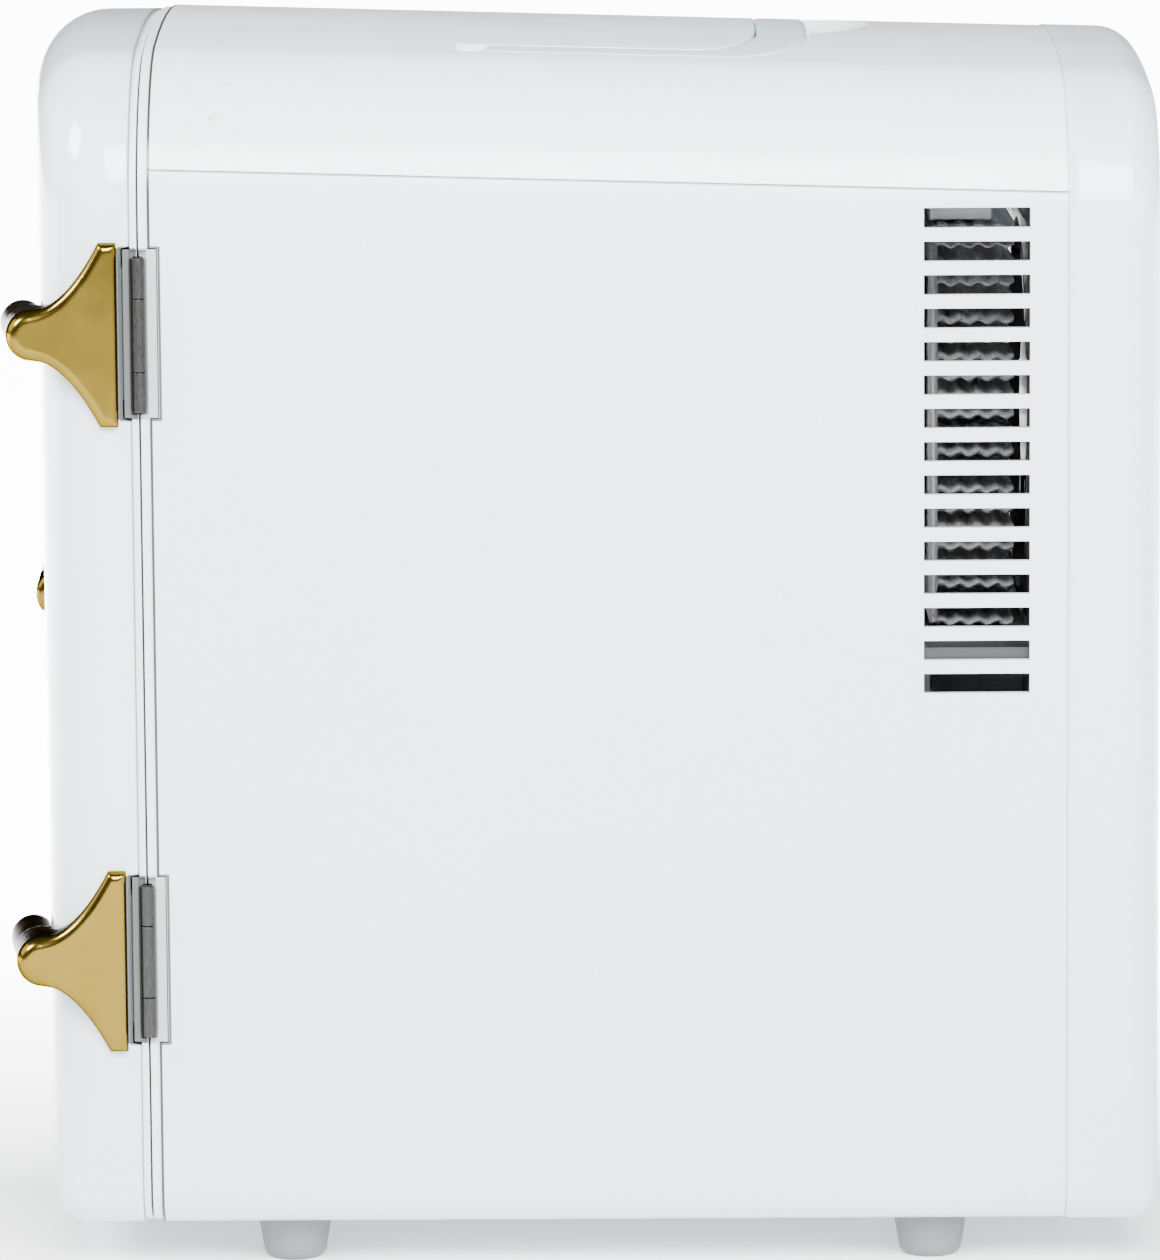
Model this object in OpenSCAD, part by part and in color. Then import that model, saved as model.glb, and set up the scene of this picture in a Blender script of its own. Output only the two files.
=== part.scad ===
// Retro style thermoelectric mini fridge, about four litres, door hinged on the right.
// Origin: on the floor, under the middle of the cabinet. +X to the hinge side,
// -Y to the door, +Z up. Millimetres.

/* [Cabinet] */
// Overall width across the flat sides
body_w = 188; // [184:0.5:192]
// Height of the crown at the front of the cabinet, above the floor
crown_z = 284.5; // [282:0.5:288]
// How far the crown drops towards the back, in degrees
crown_tilt = 1.736; // [1.4:0.05:2.0]
// Radius of the shallow arc across the top
crown_r = 390; // [360:5:440]
// Radius of the big top corners
corner_r = 36; // [33:0.5:38]
// Radius of the small bottom corners
base_r = 8; // [7:0.5:9]
// Height of the cabinet floor above the ground
base_z = 10.5; // [10:0.1:11]
// Wall thickness of the outer shells
wall = 2.2; // [2:0.1:2.4]
// How far the top cover's lower edge lies under the crown
seam_drop = 31.5; // [30:0.5:33]

/* [Door] */
// Front to back depth of the door shell at its middle
door_d = 25.9; // [25.5:0.1:26.3]
// Radius of the door's bulge seen from above
door_r = 669; // [640:1:720]
// Radius of the door's front edges
door_edge_r = 14; // [12:0.5:15]
// Gap between the door and the cabinet
door_gap = 0.5; // [0.4:0.05:0.6]

/* [Hinges] */
// Outer radius of a hinge barrel
barrel_r = 1.7; // [1.6:0.05:1.8]
// Radius of a hinge pin
pin_r = 1.0; // [0.9:0.05:1.05]
// Length of a hinge
hinge_h = 34.8; // [34:0.1:36]
// Height of the middle of the upper hinge
hinge_top_z = 215.9; // [214:0.1:217]
// Height of the middle of the lower hinge
hinge_low_z = 72.7; // [72:0.1:74]

/* [Hinge covers] */
// Height of a cover's wide end
cover_h = 41.6; // [40:0.2:43]
// Radius of a cover's nose and bar
nose_r = 5.2; // [5:0.05:5.4]
// How far a cover stands out from the side
cover_t = 3; // [2.6:0.1:3.2]
// Height of the middle of the upper cover
cover_top_z = 216; // [215:0.1:217]
// Height of the middle of the lower cover
cover_low_z = 72.8; // [72:0.1:74]

/* [Handles] */
// Height of the middle of the door's pull handle
pull_z = 144.75; // [140:0.25:148]
// Length of the pull handle
pull_len = 82; // [78:1:84]
// Outer half width of the carry handle
bail_w2 = 62; // [61:0.25:62.5]
// Width of a carry handle arm
bail_arm = 7.5; // [7:0.25:8]
// Thickness of the carry handle
bail_t = 7; // [6.5:0.25:7.5]
// Depth of the carry handle's channel
channel_d = 13; // [12.5:0.25:14]

/* [Side vents] */
// Number of slots in each side
vent_n = 15; // [10:1:15]
// Height of a slot
vent_h = 4.46; // [4:0.02:4.8]
// Distance from slot to slot
vent_pitch = 7.545; // [7.4:0.005:7.6]
// Length of a slot
vent_len = 23.94; // [20:0.02:24.5]

/* [Feet] */
// Radius of a foot at its top
foot_r = 8.65; // [8:0.05:9]
// Distance of the feet from the middle
foot_x = 76; // [74:0.5:78]

/* [Cooling unit] */
// Number of fins on the hot heat sink
fin_n = 22; // [18:1:22]
// Distance from fin to fin
fin_pitch = 4.405; // [4.3:0.005:4.42]
// Size of the hot side fan
hot_fan = 92; // [91:0.5:92.5]
// Size of the cold side fan
cold_fan = 50; // [48:1:52]
// Height of the middle of the cooling unit
unit_z = 189.5; // [188:0.5:190]

/* [Hidden] */
$fn = 48;

w2 = body_w / 2;
front_y = -95.8;                 // front edge of the side shells
back_y = 111.3;                  // joint with the rear cover
rear_y = 132.4;                  // rear face
frame_y = front_y - 2.05;        // front face of the front frame
door_back_y = frame_y - door_gap; // rear face of the door panel
door_y = -99.9;                  // rear edge of the door shell
door_front = door_y - door_d;    // front of the door at its middle
door_top = crown_z - 0.8;        // crown of the door
hinge_x = w2 + 0.5;
hinge_y = (frame_y + door_back_y) / 2;
liner_x = 72;                    // outer half width of the liner
liner_lo = 39.5;
liner_hi = 241.5;
liner_back = 62;
white = [0.90, 0.92, 0.93];
grey_white = [0.80, 0.82, 0.84];
gold = [0.76, 0.60, 0.32];
steel = [0.62, 0.62, 0.61];
alu = [0.75, 0.76, 0.78];
dark = [0.12, 0.12, 0.13];

// Extrudes a profile drawn in X and Z along Y
module xz(y0, y1) translate([0, y1, 0]) rotate([90, 0, 0]) linear_extrude(y1 - y0) children();
// Extrudes a profile drawn in Y and Z along X
module yz(x0, x1) translate([x0, 0, 0]) rotate([90, 0, 90]) linear_extrude(x1 - x0) children();
module cyl_y(r, y0, y1, x, z) translate([x, y1, z]) rotate([90, 0, 0]) cylinder(r = r, h = y1 - y0);
module cyl_x(r, x0, x1, y, z) translate([x0, y, z]) rotate([0, 90, 0]) cylinder(r = r, h = x1 - x0);
module box(a, b) translate(a) cube([b[0] - a[0], b[1] - a[1], b[2] - a[2]]);
module both() { children(); mirror([1, 0, 0]) children(); }

function arc(cx, cy, r, a0, a1, n) = [for (i = [0:n]) let (a = a0 + (a1 - a0) * i / n) [cx + r * cos(a), cy + r * sin(a)]];
function flip(p) = [for (i = [len(p) - 1:-1:0]) [-p[i][0], p[i][1]]];

corner_cx = w2 - corner_r;
corner_cz = -crown_r + sqrt(pow(crown_r - corner_r, 2) - pow(corner_cx, 2));
crown_a = atan2(corner_cx, crown_r + corner_cz);
// Right half of the arched outline, from the side up to the middle of the crown
function half_arch(off, n) = concat(
    arc(corner_cx, corner_cz, corner_r - off, 0, 90 - crown_a, n),
    [for (i = [1:4]) let (a = 90 - crown_a + crown_a * i / 4.5) [(crown_r - off) * cos(a), -crown_r + (crown_r - off) * sin(a)]]);
function arch(off, low, n = 14) = concat([[w2 - off, low]], half_arch(off, n), flip(half_arch(off, n)), [[-w2 + off, low]]);
// Crown height of the cabinet at a given depth
function crown(y) = crown_z - tan(crown_tilt) * (y - front_y);
// Drop of the arched surface under the crown at a distance from the middle
function drop(x) = crown_r - sqrt(pow(crown_r, 2) - x * x);

module tilted(y0, y1) translate([0, front_y, crown_z]) rotate([-crown_tilt, 0, 0]) xz(y0 - front_y, y1 - front_y) children();
module base_outline(off) {
    r = max(base_r - off, 0.6);
    a = arc(w2 - off - r, base_z + off + r, r, -90, 0, 6);
    polygon(concat(a, [[w2 - off, 320], [-w2 + off, 320]], flip(a)));
}
// The cabinet's arched block, smaller all round by off
module body_block(off, y0, y1) intersection() {
    tilted(y0 - 20, y1 + 20) polygon(arch(off, -330));
    xz(y0, y1) base_outline(off);
}
// Arched layer from the surface down to a depth
module skin(d0, d1, y0, y1) difference() {
    tilted(y0, y1) polygon(arch(d0, -60 - d0));
    tilted(y0 - 1, y1 + 1) polygon(arch(d1, -90));
}
module above_seam(gap) translate([0, front_y, crown_z]) rotate([-crown_tilt, 0, 0]) translate([-150, -40, -seam_drop + gap]) cube([300, 320, 100]);
module vents() for (i = [0:vent_n - 1]) translate([-w2 - 1, 78.6, 243.43 - vent_h - i * vent_pitch]) cube([body_w + 2, vent_len, vent_h]);
foot_xy = [[-foot_x, -66.2], [foot_x, -66.2], [-foot_x, 80.7], [foot_x, 80.7]];
boss_low = [[-81, 24.5], [81, 24.5]];
boss_top = [[-50, 260.5], [50, 260.5]];

// ---- cabinet shells ----
hinge_z = [hinge_low_z, hinge_top_z];
module hinge_pocket(y0, y1, grow) for (z = hinge_z) box([w2 - 4.5 - grow, y0, z - 19.1 - grow], [w2 + 5, y1, z + 19.6 + grow]);

module lower_shell() color(white) difference() {
    union() {
        difference() {
            body_block(0, front_y, back_y);
            body_block(wall, front_y - 1, back_y + 1);
            above_seam(0);
        }
        intersection() {
            body_block(1, front_y + 1, back_y);
            union() {
                for (p = foot_xy) translate([p[0], p[1], base_z + 1]) cylinder(r = 4.4, h = 9);
                for (p = boss_low) {
                    cyl_y(4.2, 96, back_y, p[0], p[1]);
                    box([p[0] - 1.2, 96, base_z], [p[0] + 1.2, back_y, p[1] - 3]);
                }
            }
        }
    }
    vents();
    for (p = foot_xy) translate([p[0], p[1], base_z - 1]) cylinder(r = 1.6, h = 9.5);
    for (p = boss_low) cyl_y(1.4, 99, back_y + 1, p[0], p[1]);
    hinge_pocket(front_y - 1, front_y + 2.15, 0);
}

// Plan outline of the carry handle's outer edge
function bail_outer(c) = let (a = arc(0, 0, 1, 0, 90, 9)) concat([[bail_w2 + c, c > 0 ? -26.4 - c * 1.15 : -25.5], [bail_w2 + c, 35]],
    [for (p = a) [30 + (bail_w2 - 30 + c) * p[0], 35 + (19.2 + c) * p[1]]]);
function bail_inner(c) = let (a = arc(0, 0, 1, 0, 90, 9)) concat([[bail_w2 - bail_arm - c, -60], [bail_w2 - bail_arm - c, 27]],
    [for (p = a) [25 + (bail_w2 - bail_arm - 25 - c) * p[0], 27 + (15.3 - c) * p[1]]]);
module bail_plan(c) difference() {
    polygon(concat(bail_outer(c), flip(bail_outer(c))));
    polygon(concat(bail_inner(c), flip(bail_inner(c))));
}
module scoop_plan(c) intersection() {
    translate([0, 31.2]) circle(r = 37.8 + c);
    translate([-60, 50]) square([120, 30]);
}
pivot_y = -20.5;
pivot_z = crown(pivot_y) - drop(bail_w2) - 5;

module top_cover() color(white) difference() {
    union() {
        difference() {
            body_block(0, front_y, back_y);
            body_block(wall, front_y - 1, back_y + 1);
            translate([0, 0, -seam_drop + 0.12]) translate([0, front_y, crown_z]) rotate([-crown_tilt, 0, 0]) translate([-150, -40, -400]) cube([300, 320, 400]);
        }
        intersection() {
            skin(1, channel_d + 2, -60, 90);
            translate([0, 0, 200]) linear_extrude(120) union() { bail_plan(2.4); scoop_plan(2); }
        }
        intersection() {
            body_block(1, 90, back_y);
            for (p = boss_top) {
                cyl_y(4.2, 96, back_y, p[0], p[1]);
                box([p[0] - 1.2, 96, p[1] + 3], [p[0] + 1.2, back_y, 290]);
            }
        }
    }
    intersection() {
        skin(-3, channel_d, -60, 90);
        translate([0, 0, 200]) linear_extrude(120) union() { bail_plan(0.45); scoop_plan(0); }
    }
    cyl_x(2.55, -bail_w2 - 2.2, bail_w2 + 2.2, pivot_y, pivot_z);
    for (p = boss_top) cyl_y(1.4, 99, back_y + 1, p[0], p[1]);
}

// The rear cover's block, with rounded rear edges
module rear_block(off, y0, r) {
    e = rear_y - max(off, 0);
    z = crown(rear_y) - off;
    plan = concat([[w2 - off, y0]], arc(w2 - off - r, e - r, r, 0, 90, 6));
    intersection() {
        tilted(y0 - 20, rear_y + 20) polygon(arch(off, -330));
        xz(y0, rear_y + 3) base_outline(off);
        linear_extrude(320) polygon(concat(plan, flip(plan)));
        yz(-110, 110) polygon(concat([[y0 - 9, -10], [e - r, base_z + off - 0.3]], arc(e - r, base_z + off + r, r, -90, 0, 5), arc(e - r, z - r, r, 0, 90, 7), [[y0 - 9, z + 12]]));
    }
}
fan_holes = [for (sx = [-1, 1], sz = [-1, 1]) [sx * hot_fan * 0.448, unit_z + sz * hot_fan * 0.448]];
module grille() difference() {
    intersection() {
        cyl_y(43, 120, rear_y + 2, 0, unit_z);
        for (i = [-6:6]) box([-45, 120, unit_z + i * 6.8 - 2.1], [45, rear_y + 2, unit_z + i * 6.8 + 2.1]);
    }
    cyl_y(12, 119, rear_y + 3, 0, unit_z);
    box([-1.6, 119, unit_z - 50], [1.6, rear_y + 3, unit_z + 50]);
}
module rear_cover() color(white) difference() {
    union() {
        difference() {
            rear_block(-0.25, back_y + 0.05, 8);
            rear_block(wall, back_y - 1, 6);
        }
        for (p = concat(boss_low, boss_top)) cyl_y(4.6, back_y + 0.05, rear_y - 1, p[0], p[1]);
        for (p = fan_holes) cyl_y(5, rear_y - 2.9, rear_y - 1, p[0], p[1]);
        box([-64, rear_y - 6.4, 42], [64, rear_y - 1, 84]);
    }
    box([-62, rear_y - 4.2, 44], [62, rear_y + 3, 82]);
    grille();
    for (p = concat(boss_low, boss_top)) {
        cyl_y(3.5, back_y + 4, rear_y + 2, p[0], p[1]);
        cyl_y(1.8, back_y - 1, rear_y, p[0], p[1]);
    }
    for (p = fan_holes) {
        cyl_y(3.4, rear_y - 1.6, rear_y + 2, p[0], p[1]);
        cyl_y(1.9, rear_y - 5, rear_y, p[0], p[1]);
    }
    box([-50.2, rear_y - 8, 55.8], [-25.8, rear_y, 70.2]);
    cyl_y(6.2, rear_y - 8, rear_y, 2, 63);
    box([32.8, rear_y - 8, 51.8], [47.2, rear_y, 74.2]);
}

module front_frame() color(grey_white) difference() {
    union() {
        difference() {
            union() {
                body_block(0.5, frame_y, front_y);
                body_block(wall + 0.25, front_y - 0.5, front_y + 6);
            }
            body_block(wall + 2, front_y, front_y + 7);
        }
        // Tabs in the side shells' hinge pockets, and bosses for the hinge screws
        for (z = hinge_z) {
            box([w2 - 4.1, frame_y, z - 18.8], [w2 - 0.35, front_y + 1.85, z + 19.3]);
            box([w2 - 15, front_y - 0.5, z - 15], [w2 - 2.6, front_y + 6, z + 15]);
        }
    }
    box([-70.5, frame_y - 1, liner_lo + 1.5], [70.5, front_y + 8, liner_hi - 1.5]);
    // Recess for the steel ring that the door's magnets grip
    difference() {
        box([-77.5, front_y - 0.8, liner_lo - 5.5], [77.5, front_y + 0.01, liner_hi + 5.5]);
        box([-72, front_y - 2, liner_lo], [72, front_y + 1, liner_hi]);
    }
    for (z = hinge_z) {
        translate([hinge_x, hinge_y, z - hinge_h / 2 - 0.6]) cylinder(r = barrel_r + 0.5, h = hinge_h + 2.4);
        box([w2 - 12.6, frame_y - 1, z - hinge_h / 2 - 0.2], [w2 + 2, frame_y + 0.9, z + hinge_h / 2 + 0.2]);
        for (dz = [-10.5, 10.5]) cyl_y(1.2, frame_y - 1, front_y + 5, w2 - 7.5, z + dz);
    }
}

module liner() color([0.93, 0.93, 0.92]) difference() {
    union() {
        box([-liner_x, front_y + 0.1, liner_lo], [liner_x, liner_back, liner_hi]);
        box([-78, front_y + 0.1, liner_lo - 6], [78, front_y + 1.6, liner_hi + 6]);
    }
    difference() {
        box([-liner_x + 1.5, front_y - 1, liner_lo + 1.5], [liner_x - 1.5, liner_back - 1.5, liner_hi - 1.5]);
        both() box([67.5, -85, 134], [80, 45, 136]);
    }
    box([-22, liner_back - 3, unit_z - 22], [22, liner_back + 1, unit_z + 22]);
    both() cyl_y(1.8, liner_back - 3, liner_back + 1, 28, unit_z);
}

module insulation() color([0.95, 0.95, 0.93]) difference() {
    intersection() {
        body_block(wall + 0.6, front_y + 1.8, 78.2);
        box([-100, -120, 0], [100, 100, 257.5]);
    }
    box([-liner_x - 0.2, -120, liner_lo - 0.2], [liner_x + 0.2, liner_back + 0.2, liner_hi + 0.2]);
    box([-22, 50, unit_z - 22], [22, 90, unit_z + 22]);
    both() cyl_y(1.8, 50, 90, 28, unit_z);
    for (p = foot_xy) translate([p[0], p[1], 0]) cylinder(r = 4.7, h = 20.5);
    body_rim = 6.3;
    difference() {
        box([-120, -120, 0], [120, front_y + body_rim, 300]);
        body_block(wall + 2.2, -130, 0);
    }
    for (z = hinge_z) box([w2 - 15.3, -120, z - 15.3], [w2, front_y + body_rim, z + 15.3]);
}

// ---- feet ----
module foot() difference() {
    rotate_extrude() polygon(concat([[0, 0], [4.9, 0]], arc(4.9, 2.4, 2.4, -80, -10, 5), [[foot_r, base_z], [0, base_z]]));
    translate([0, 0, -1]) cylinder(r = 2.9, h = 5);
    translate([0, 0, -1]) cylinder(r = 1.7, h = 20);
}
module feet() color([0.68, 0.70, 0.72]) for (p = foot_xy) translate([p[0], p[1], 0]) foot();
module foot_screws() color(steel) for (p = foot_xy) translate([p[0], p[1], 0]) difference() {
    union() {
        translate([0, 0, 2.2]) cylinder(r = 2.75, h = 1.8);
        translate([0, 0, 3]) cylinder(r = 1.6, h = 15);
    }
    for (a = [0, 90]) rotate(a) translate([-1.6, -0.3, 1]) cube([3.2, 0.6, 2]);
}

// ---- inside the cabin ----
module shelf() color([0.88, 0.92, 0.95]) difference() {
    box([-70.1, -66, 136.05], [70.1, 26, 138.6]);
    for (i = [-6:6], j = [0:3]) box([i * 10 - 3, -60 + j * 21, 130], [i * 10 + 3, -44 + j * 21, 145]);
}
module cold_sink() color(alu) difference() {
    union() {
        box([-35, 57.6, unit_z - 35], [35, 60.4, unit_z + 35]);
        for (i = [-7:7]) if (abs(i) != 6) box([i * 4.8 - 0.6, 44.5, unit_z - 35], [i * 4.8 + 0.6, 58, unit_z + 35]);
    }
    both() cyl_y(1.6, 50, 62, 28, unit_z);
}
// Axial fan frame with its axis along Y; the struts are on the high Y side
module fan_frame(s, y0, y1, hub, bore_r, sp) difference() {
    union() {
        difference() {
            box([-s / 2, y0, unit_z - s / 2], [s / 2, y1, unit_z + s / 2]);
            cyl_y(s / 2 - 2, y0 - 1, y1 + 1, 0, unit_z);
            if (s > 60) difference() {
                box([-s, y0 + 4, unit_z - s], [s, y1 - 4, unit_z + s]);
                cyl_y(s / 2 - 0.6, y0, y1, 0, unit_z);
                for (sx = [-1, 1], sz = [-1, 1]) cyl_y(4.2, y0, y1, sx * sp, unit_z + sz * sp);
            }
        }
        cyl_y(hub, y1 - 3, y1, 0, unit_z);
        for (a = [45:90:315]) translate([0, 0, unit_z]) rotate([0, a, 0]) box([0, y1 - 2.6, -1.3], [s / 2 - 1, y1, 1.3]);
    }
    cyl_y(bore_r, y1 - 4, y1 - 0.4, 0, unit_z);
    for (sx = [-1, 1], sz = [-1, 1]) cyl_y(s > 60 ? 1.7 : 1.4, y0 - 1, y1 + 1, sx * sp, unit_z + sz * sp);
}
module rotor(hub, tip, y0, y1, shaft_r, shaft_end, pitch) {
    cyl_y(hub, y0, y1, 0, unit_z);
    cyl_y(shaft_r, y1 - 0.5, shaft_end, 0, unit_z);
    intersection() {
        cyl_y(tip, y0 + 0.6, y1 - 0.4, 0, unit_z);
        for (i = [0:6]) translate([0, (y0 + y1) / 2, unit_z]) rotate([0, i * 360 / 7, 0]) translate([0, 0, hub - 1.5])
            rotate([0, 0, pitch]) translate([-0.7, -(y1 - y0), 0]) cube([1.4, 2 * (y1 - y0), tip]);
    }
}
module cold_fan_frame() color(dark) fan_frame(cold_fan, 30.9, 40.9, 11, 1.05, 20);
module cold_fan_rotor() color([0.2, 0.2, 0.21]) rotor(10.5, 22.2, 31.4, 37.5, 1.0, 40.2, 48);
module cold_grille() color(grey_white) difference() {
    box([-42, 29, unit_z - 42], [42, 60.4, unit_z + 42]);
    box([-40.2, 30.8, unit_z - 40.2], [40.2, 61, unit_z + 40.2]);
    for (i = [-4:4]) intersection() {
        box([-23, 28, unit_z + i * 5 - 1.5], [23, 32, unit_z + i * 5 + 1.5]);
        cyl_y(22.5, 28, 32, 0, unit_z);
    }
    for (i = [-3:3]) box([i * 10 - 3.5, 46, unit_z - 45], [i * 10 + 3.5, 57, unit_z + 45]);
    for (sx = [-1, 1], sz = [-1, 1]) cyl_y(1.4, 29.6, 32, sx * 20, unit_z + sz * 20);
}

// ---- cooling unit ----
module spacer_block() color(alu) box([-20, 60.4, unit_z - 20], [20, 77.6, unit_z + 20]);
module peltier_module() color([0.93, 0.93, 0.90]) {
    box([-20, 77.65, unit_z - 20], [20, 78.45, unit_z + 20]);
    box([-19.6, 78.45, unit_z - 19.6], [19.6, 80.75, unit_z + 19.6]);
    box([-20, 80.75, unit_z - 20], [20, 81.55, unit_z + 20]);
}
module tec_gasket() color([0.25, 0.25, 0.26]) difference() {
    box([-34, 78.3, unit_z - 32], [34, 81.5, unit_z + 32]);
    box([-20.4, 77, unit_z - 20.4], [20.4, 83, unit_z + 20.4]);
    box([-6, 77, unit_z - 40], [6, 83, unit_z - 20]);
    both() cyl_y(1.9, 77, 83, 28, unit_z);
}
// One corrugated fin seen from the side
module fin_outline(z, t) polygon(concat(
    [for (i = [0:24]) let (y = 83.3 + i * 17.9 / 24) [y, z + t / 2 + 0.45 * sin((y - 83.3) * 360 / 4.3)]],
    [for (i = [24:-1:0]) let (y = 83.3 + i * 17.9 / 24) [y, z - t / 2 + 0.45 * sin((y - 83.3) * 360 / 4.3)]]));
module hot_sink() color([0.62, 0.63, 0.64]) difference() {
    union() {
        box([-50, 81.6, unit_z - 46.25], [50, 83.5, unit_z + 46.25]);
        for (i = [0:fin_n - 1]) yz(-50, 50) fin_outline(unit_z + (i - (fin_n - 1) / 2) * fin_pitch, 0.95);
    }
    both() {
        cyl_y(4, 83.5, 110, 28, unit_z);
        cyl_y(1.8, 80, 90, 28, unit_z);
    }
}
module heatsink_screws() color(steel) both() {
    cyl_y(3.2, 83.5, 86.2, 28, unit_z);
    cyl_y(1.6, 57.8, 84, 28, unit_z);
}
module duct_seal() color([0.80, 0.81, 0.81]) box([-48, 81.8, unit_z + 47.4], [48, 96, unit_z + 50.4]);
module hot_fan_frame() color(dark) fan_frame(hot_fan, 104.5, rear_y - 2.9, 17, 1.55, hot_fan * 0.448);
module hot_fan_rotor() color([0.16, 0.16, 0.17]) rotor(17, 42.4, 106, 125.9, 1.5, 129.0, 52);
module fan_screws() color(steel) {
    for (p = fan_holes) {
        cyl_y(3.1, rear_y - 1.55, rear_y - 0.05, p[0], p[1]);
        cyl_y(1.7, 118, rear_y - 1, p[0], p[1]);
    }
    for (sx = [-1, 1], sz = [-1, 1]) {
        cyl_y(2.6, 40.95, 42.4, sx * 20, unit_z + sz * 20);
        cyl_y(1.4, 29.7, 41.2, sx * 20, unit_z + sz * 20);
    }
}
board_posts = [[-48, 34], [38, 34], [-48, 106], [38, 106]];
module rear_partition() color([0.55, 0.56, 0.57]) difference() {
    union() {
        box([-88, 78.35, 21], [88, 80.2, 142.1]);
        box([-91, 78.35, 140.3], [91, 104, 142.1]);
        both() box([88.6, 78.35, 141.1], [91, 104, 143.4]);
        for (p = board_posts) cyl_y(3, 80, 92, p[0], p[1]);
    }
    box([-8, 70, 139], [8, 86, 150]);
    box([-8, 70, 97], [8, 81, 150]);
    for (p = board_posts) cyl_y(1.2, 84, 93, p[0], p[1]);
}
module power_board() color([0.16, 0.42, 0.24]) difference() {
    box([-54, 92, 29], [44, 93.6, 111]);
    for (p = board_posts) cyl_y(1.5, 91, 95, p[0], p[1]);
}
module board_screws() color(steel) for (p = board_posts) {
    cyl_y(2.6, 93.6, 95.2, p[0], p[1]);
    cyl_y(1.2, 85, 94, p[0], p[1]);
}
module power_components() {
    color([0.75, 0.65, 0.25]) box([-16, 93.6, 71.5], [12, 117, 93]);
    color(dark) {
        cyl_y(8, 93.6, 106, -38, 60);
        cyl_y(5, 93.6, 108, 26, 84);
        cyl_y(5, 93.6, 108, 26, 70);
    }
    color(alu) box([-42, 93.6, 76], [-24, 113, 79]);
    color([0.9, 0.9, 0.88]) { box([-34, 93.6, 36], [-20, 103, 44]); box([16, 93.6, 36], [30, 103, 44]); }
    color([0.75, 0.2, 0.15]) box([-8, 93.6, 96], [8, 101, 106]);
}
module lead(x) {
    translate([x, 80, 100]) cylinder(r = 0.75, h = unit_z - 21 - 100);
    translate([x, 80, 100]) sphere(r = 0.75);
    cyl_y(0.75, 80, 91.9, x, 100);
}
module lead_wires() difference() {
    union() { color([0.75, 0.1, 0.1]) lead(3.5); color(dark) lead(-3.5); }
    box([-8, 79.2, 119.9], [8, 79.2001, 120]);
}

// ---- sockets and switch on the rear ----
module ac_inlet() color(dark) difference() {
    union() {
        box([-50, rear_y - 24, 56], [-26, rear_y - 4.1, 70]);
        box([-52, rear_y - 4.2, 54], [-24, rear_y - 2.7, 72]);
    }
    cyl_y(4.3, rear_y - 16, rear_y, -42, 63);
    cyl_y(4.3, rear_y - 16, rear_y, -34, 63);
    box([-42, rear_y - 16, 58.7], [-34, rear_y, 67.3]);
    for (x = [-42.6, -33.4]) cyl_y(1.1, rear_y - 22, rear_y - 10, x, 63);
}
module inlet_pins() color(steel) for (x = [-42.6, -33.4]) cyl_y(1.1, rear_y - 21, rear_y - 6, x, 63);
module dc_jack() color(dark) {
    difference() {
        union() {
            cyl_y(6, rear_y - 18, rear_y - 4, 2, 63);
            cyl_y(7.6, rear_y - 4.2, rear_y - 2.7, 2, 63);
        }
        cyl_y(3.4, rear_y - 15, rear_y, 2, 63);
    }
    cyl_y(1, rear_y - 16, rear_y - 5, 2, 63);
}
rocker_y = rear_y - 7.4;
module switch_body() color(dark) difference() {
    union() {
        box([33, rear_y - 22, 52], [47, rear_y - 4.1, 74]);
        box([31.5, rear_y - 4.2, 50.5], [48.5, rear_y - 2.9, 75.5]);
    }
    box([34.2, rear_y - 18, 53.4], [45.8, rear_y, 72.6]);
    cyl_x(1.25, 33.2, 46.8, rocker_y, 63);
}
module mode_rocker() color([0.18, 0.18, 0.19]) {
    translate([0, rocker_y, 63]) yz(34.5, 45.5) polygon([[-3, -2.5], [1.5, -8], [6.1, -8], [4.4, 0], [6.1, 8], [1.5, 8], [-3, 2.5]]);
    cyl_x(1.2, 33.3, 46.7, rocker_y, 63);
}
module rear_cover_screws() color(steel) for (p = concat(boss_low, boss_top)) {
    cyl_y(3.2, back_y + 4, back_y + 6, p[0], p[1]);
    cyl_y(1.4, 101, back_y + 5, p[0], p[1]);
}

// ---- hinges ----
module strike_ring() color(steel) difference() {
    box([-77.3, front_y - 0.78, liner_lo - 5.3], [77.3, front_y - 0.02, liner_hi + 5.3]);
    box([-72.2, front_y - 2, liner_lo - 0.2], [72.2, front_y + 1, liner_hi + 0.2]);
}
k1 = 9;
// Leaf with its knuckles: side 1 for the cabinet (two outer knuckles), -1 for the door (middle knuckle)
module leaf(z, side) {
    y0 = side > 0 ? frame_y : door_back_y - 0.9;
    difference() {
        union() {
            box([w2 - 12.4, y0, z - hinge_h / 2], [hinge_x, y0 + 0.9, z + hinge_h / 2]);
            if (side > 0) for (s = [-1, 1]) translate([hinge_x, hinge_y, z + s * (hinge_h / 2 - k1 / 2)]) cylinder(r = barrel_r, h = k1, center = true);
            else translate([hinge_x, hinge_y, z]) cylinder(r = barrel_r, h = hinge_h - 2 * k1 - 0.4, center = true);
        }
        if (side > 0) box([hinge_x - barrel_r - 0.35, y0 - 5, z - hinge_h / 2 + k1], [hinge_x + 3, y0 + 5, z + hinge_h / 2 - k1]);
        else for (s = [-1, 1]) translate([hinge_x - barrel_r - 0.35, y0 - 5, z + s * (hinge_h / 2 - k1 / 2 + 0.5) - (k1 + 1.4) / 2]) cube([5, 10, k1 + 1.4]);
        translate([hinge_x, hinge_y, z - 30]) cylinder(r = side > 0 ? pin_r : pin_r + 0.05, h = 60);
        for (dz = [-10.5, 10.5]) {
            cyl_y(1.3, y0 - 1, y0 + 2, w2 - 7.5, z + dz);
            if (side > 0) cyl_y(2.3, y0 - 1, y0 + 0.55, w2 - 7.5, z + dz);
            else cyl_y(2.3, y0 + 0.35, y0 + 2, w2 - 7.5, z + dz);
        }
    }
}
module hinge_leaf_body() color(steel) for (z = hinge_z) leaf(z, 1);
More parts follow.
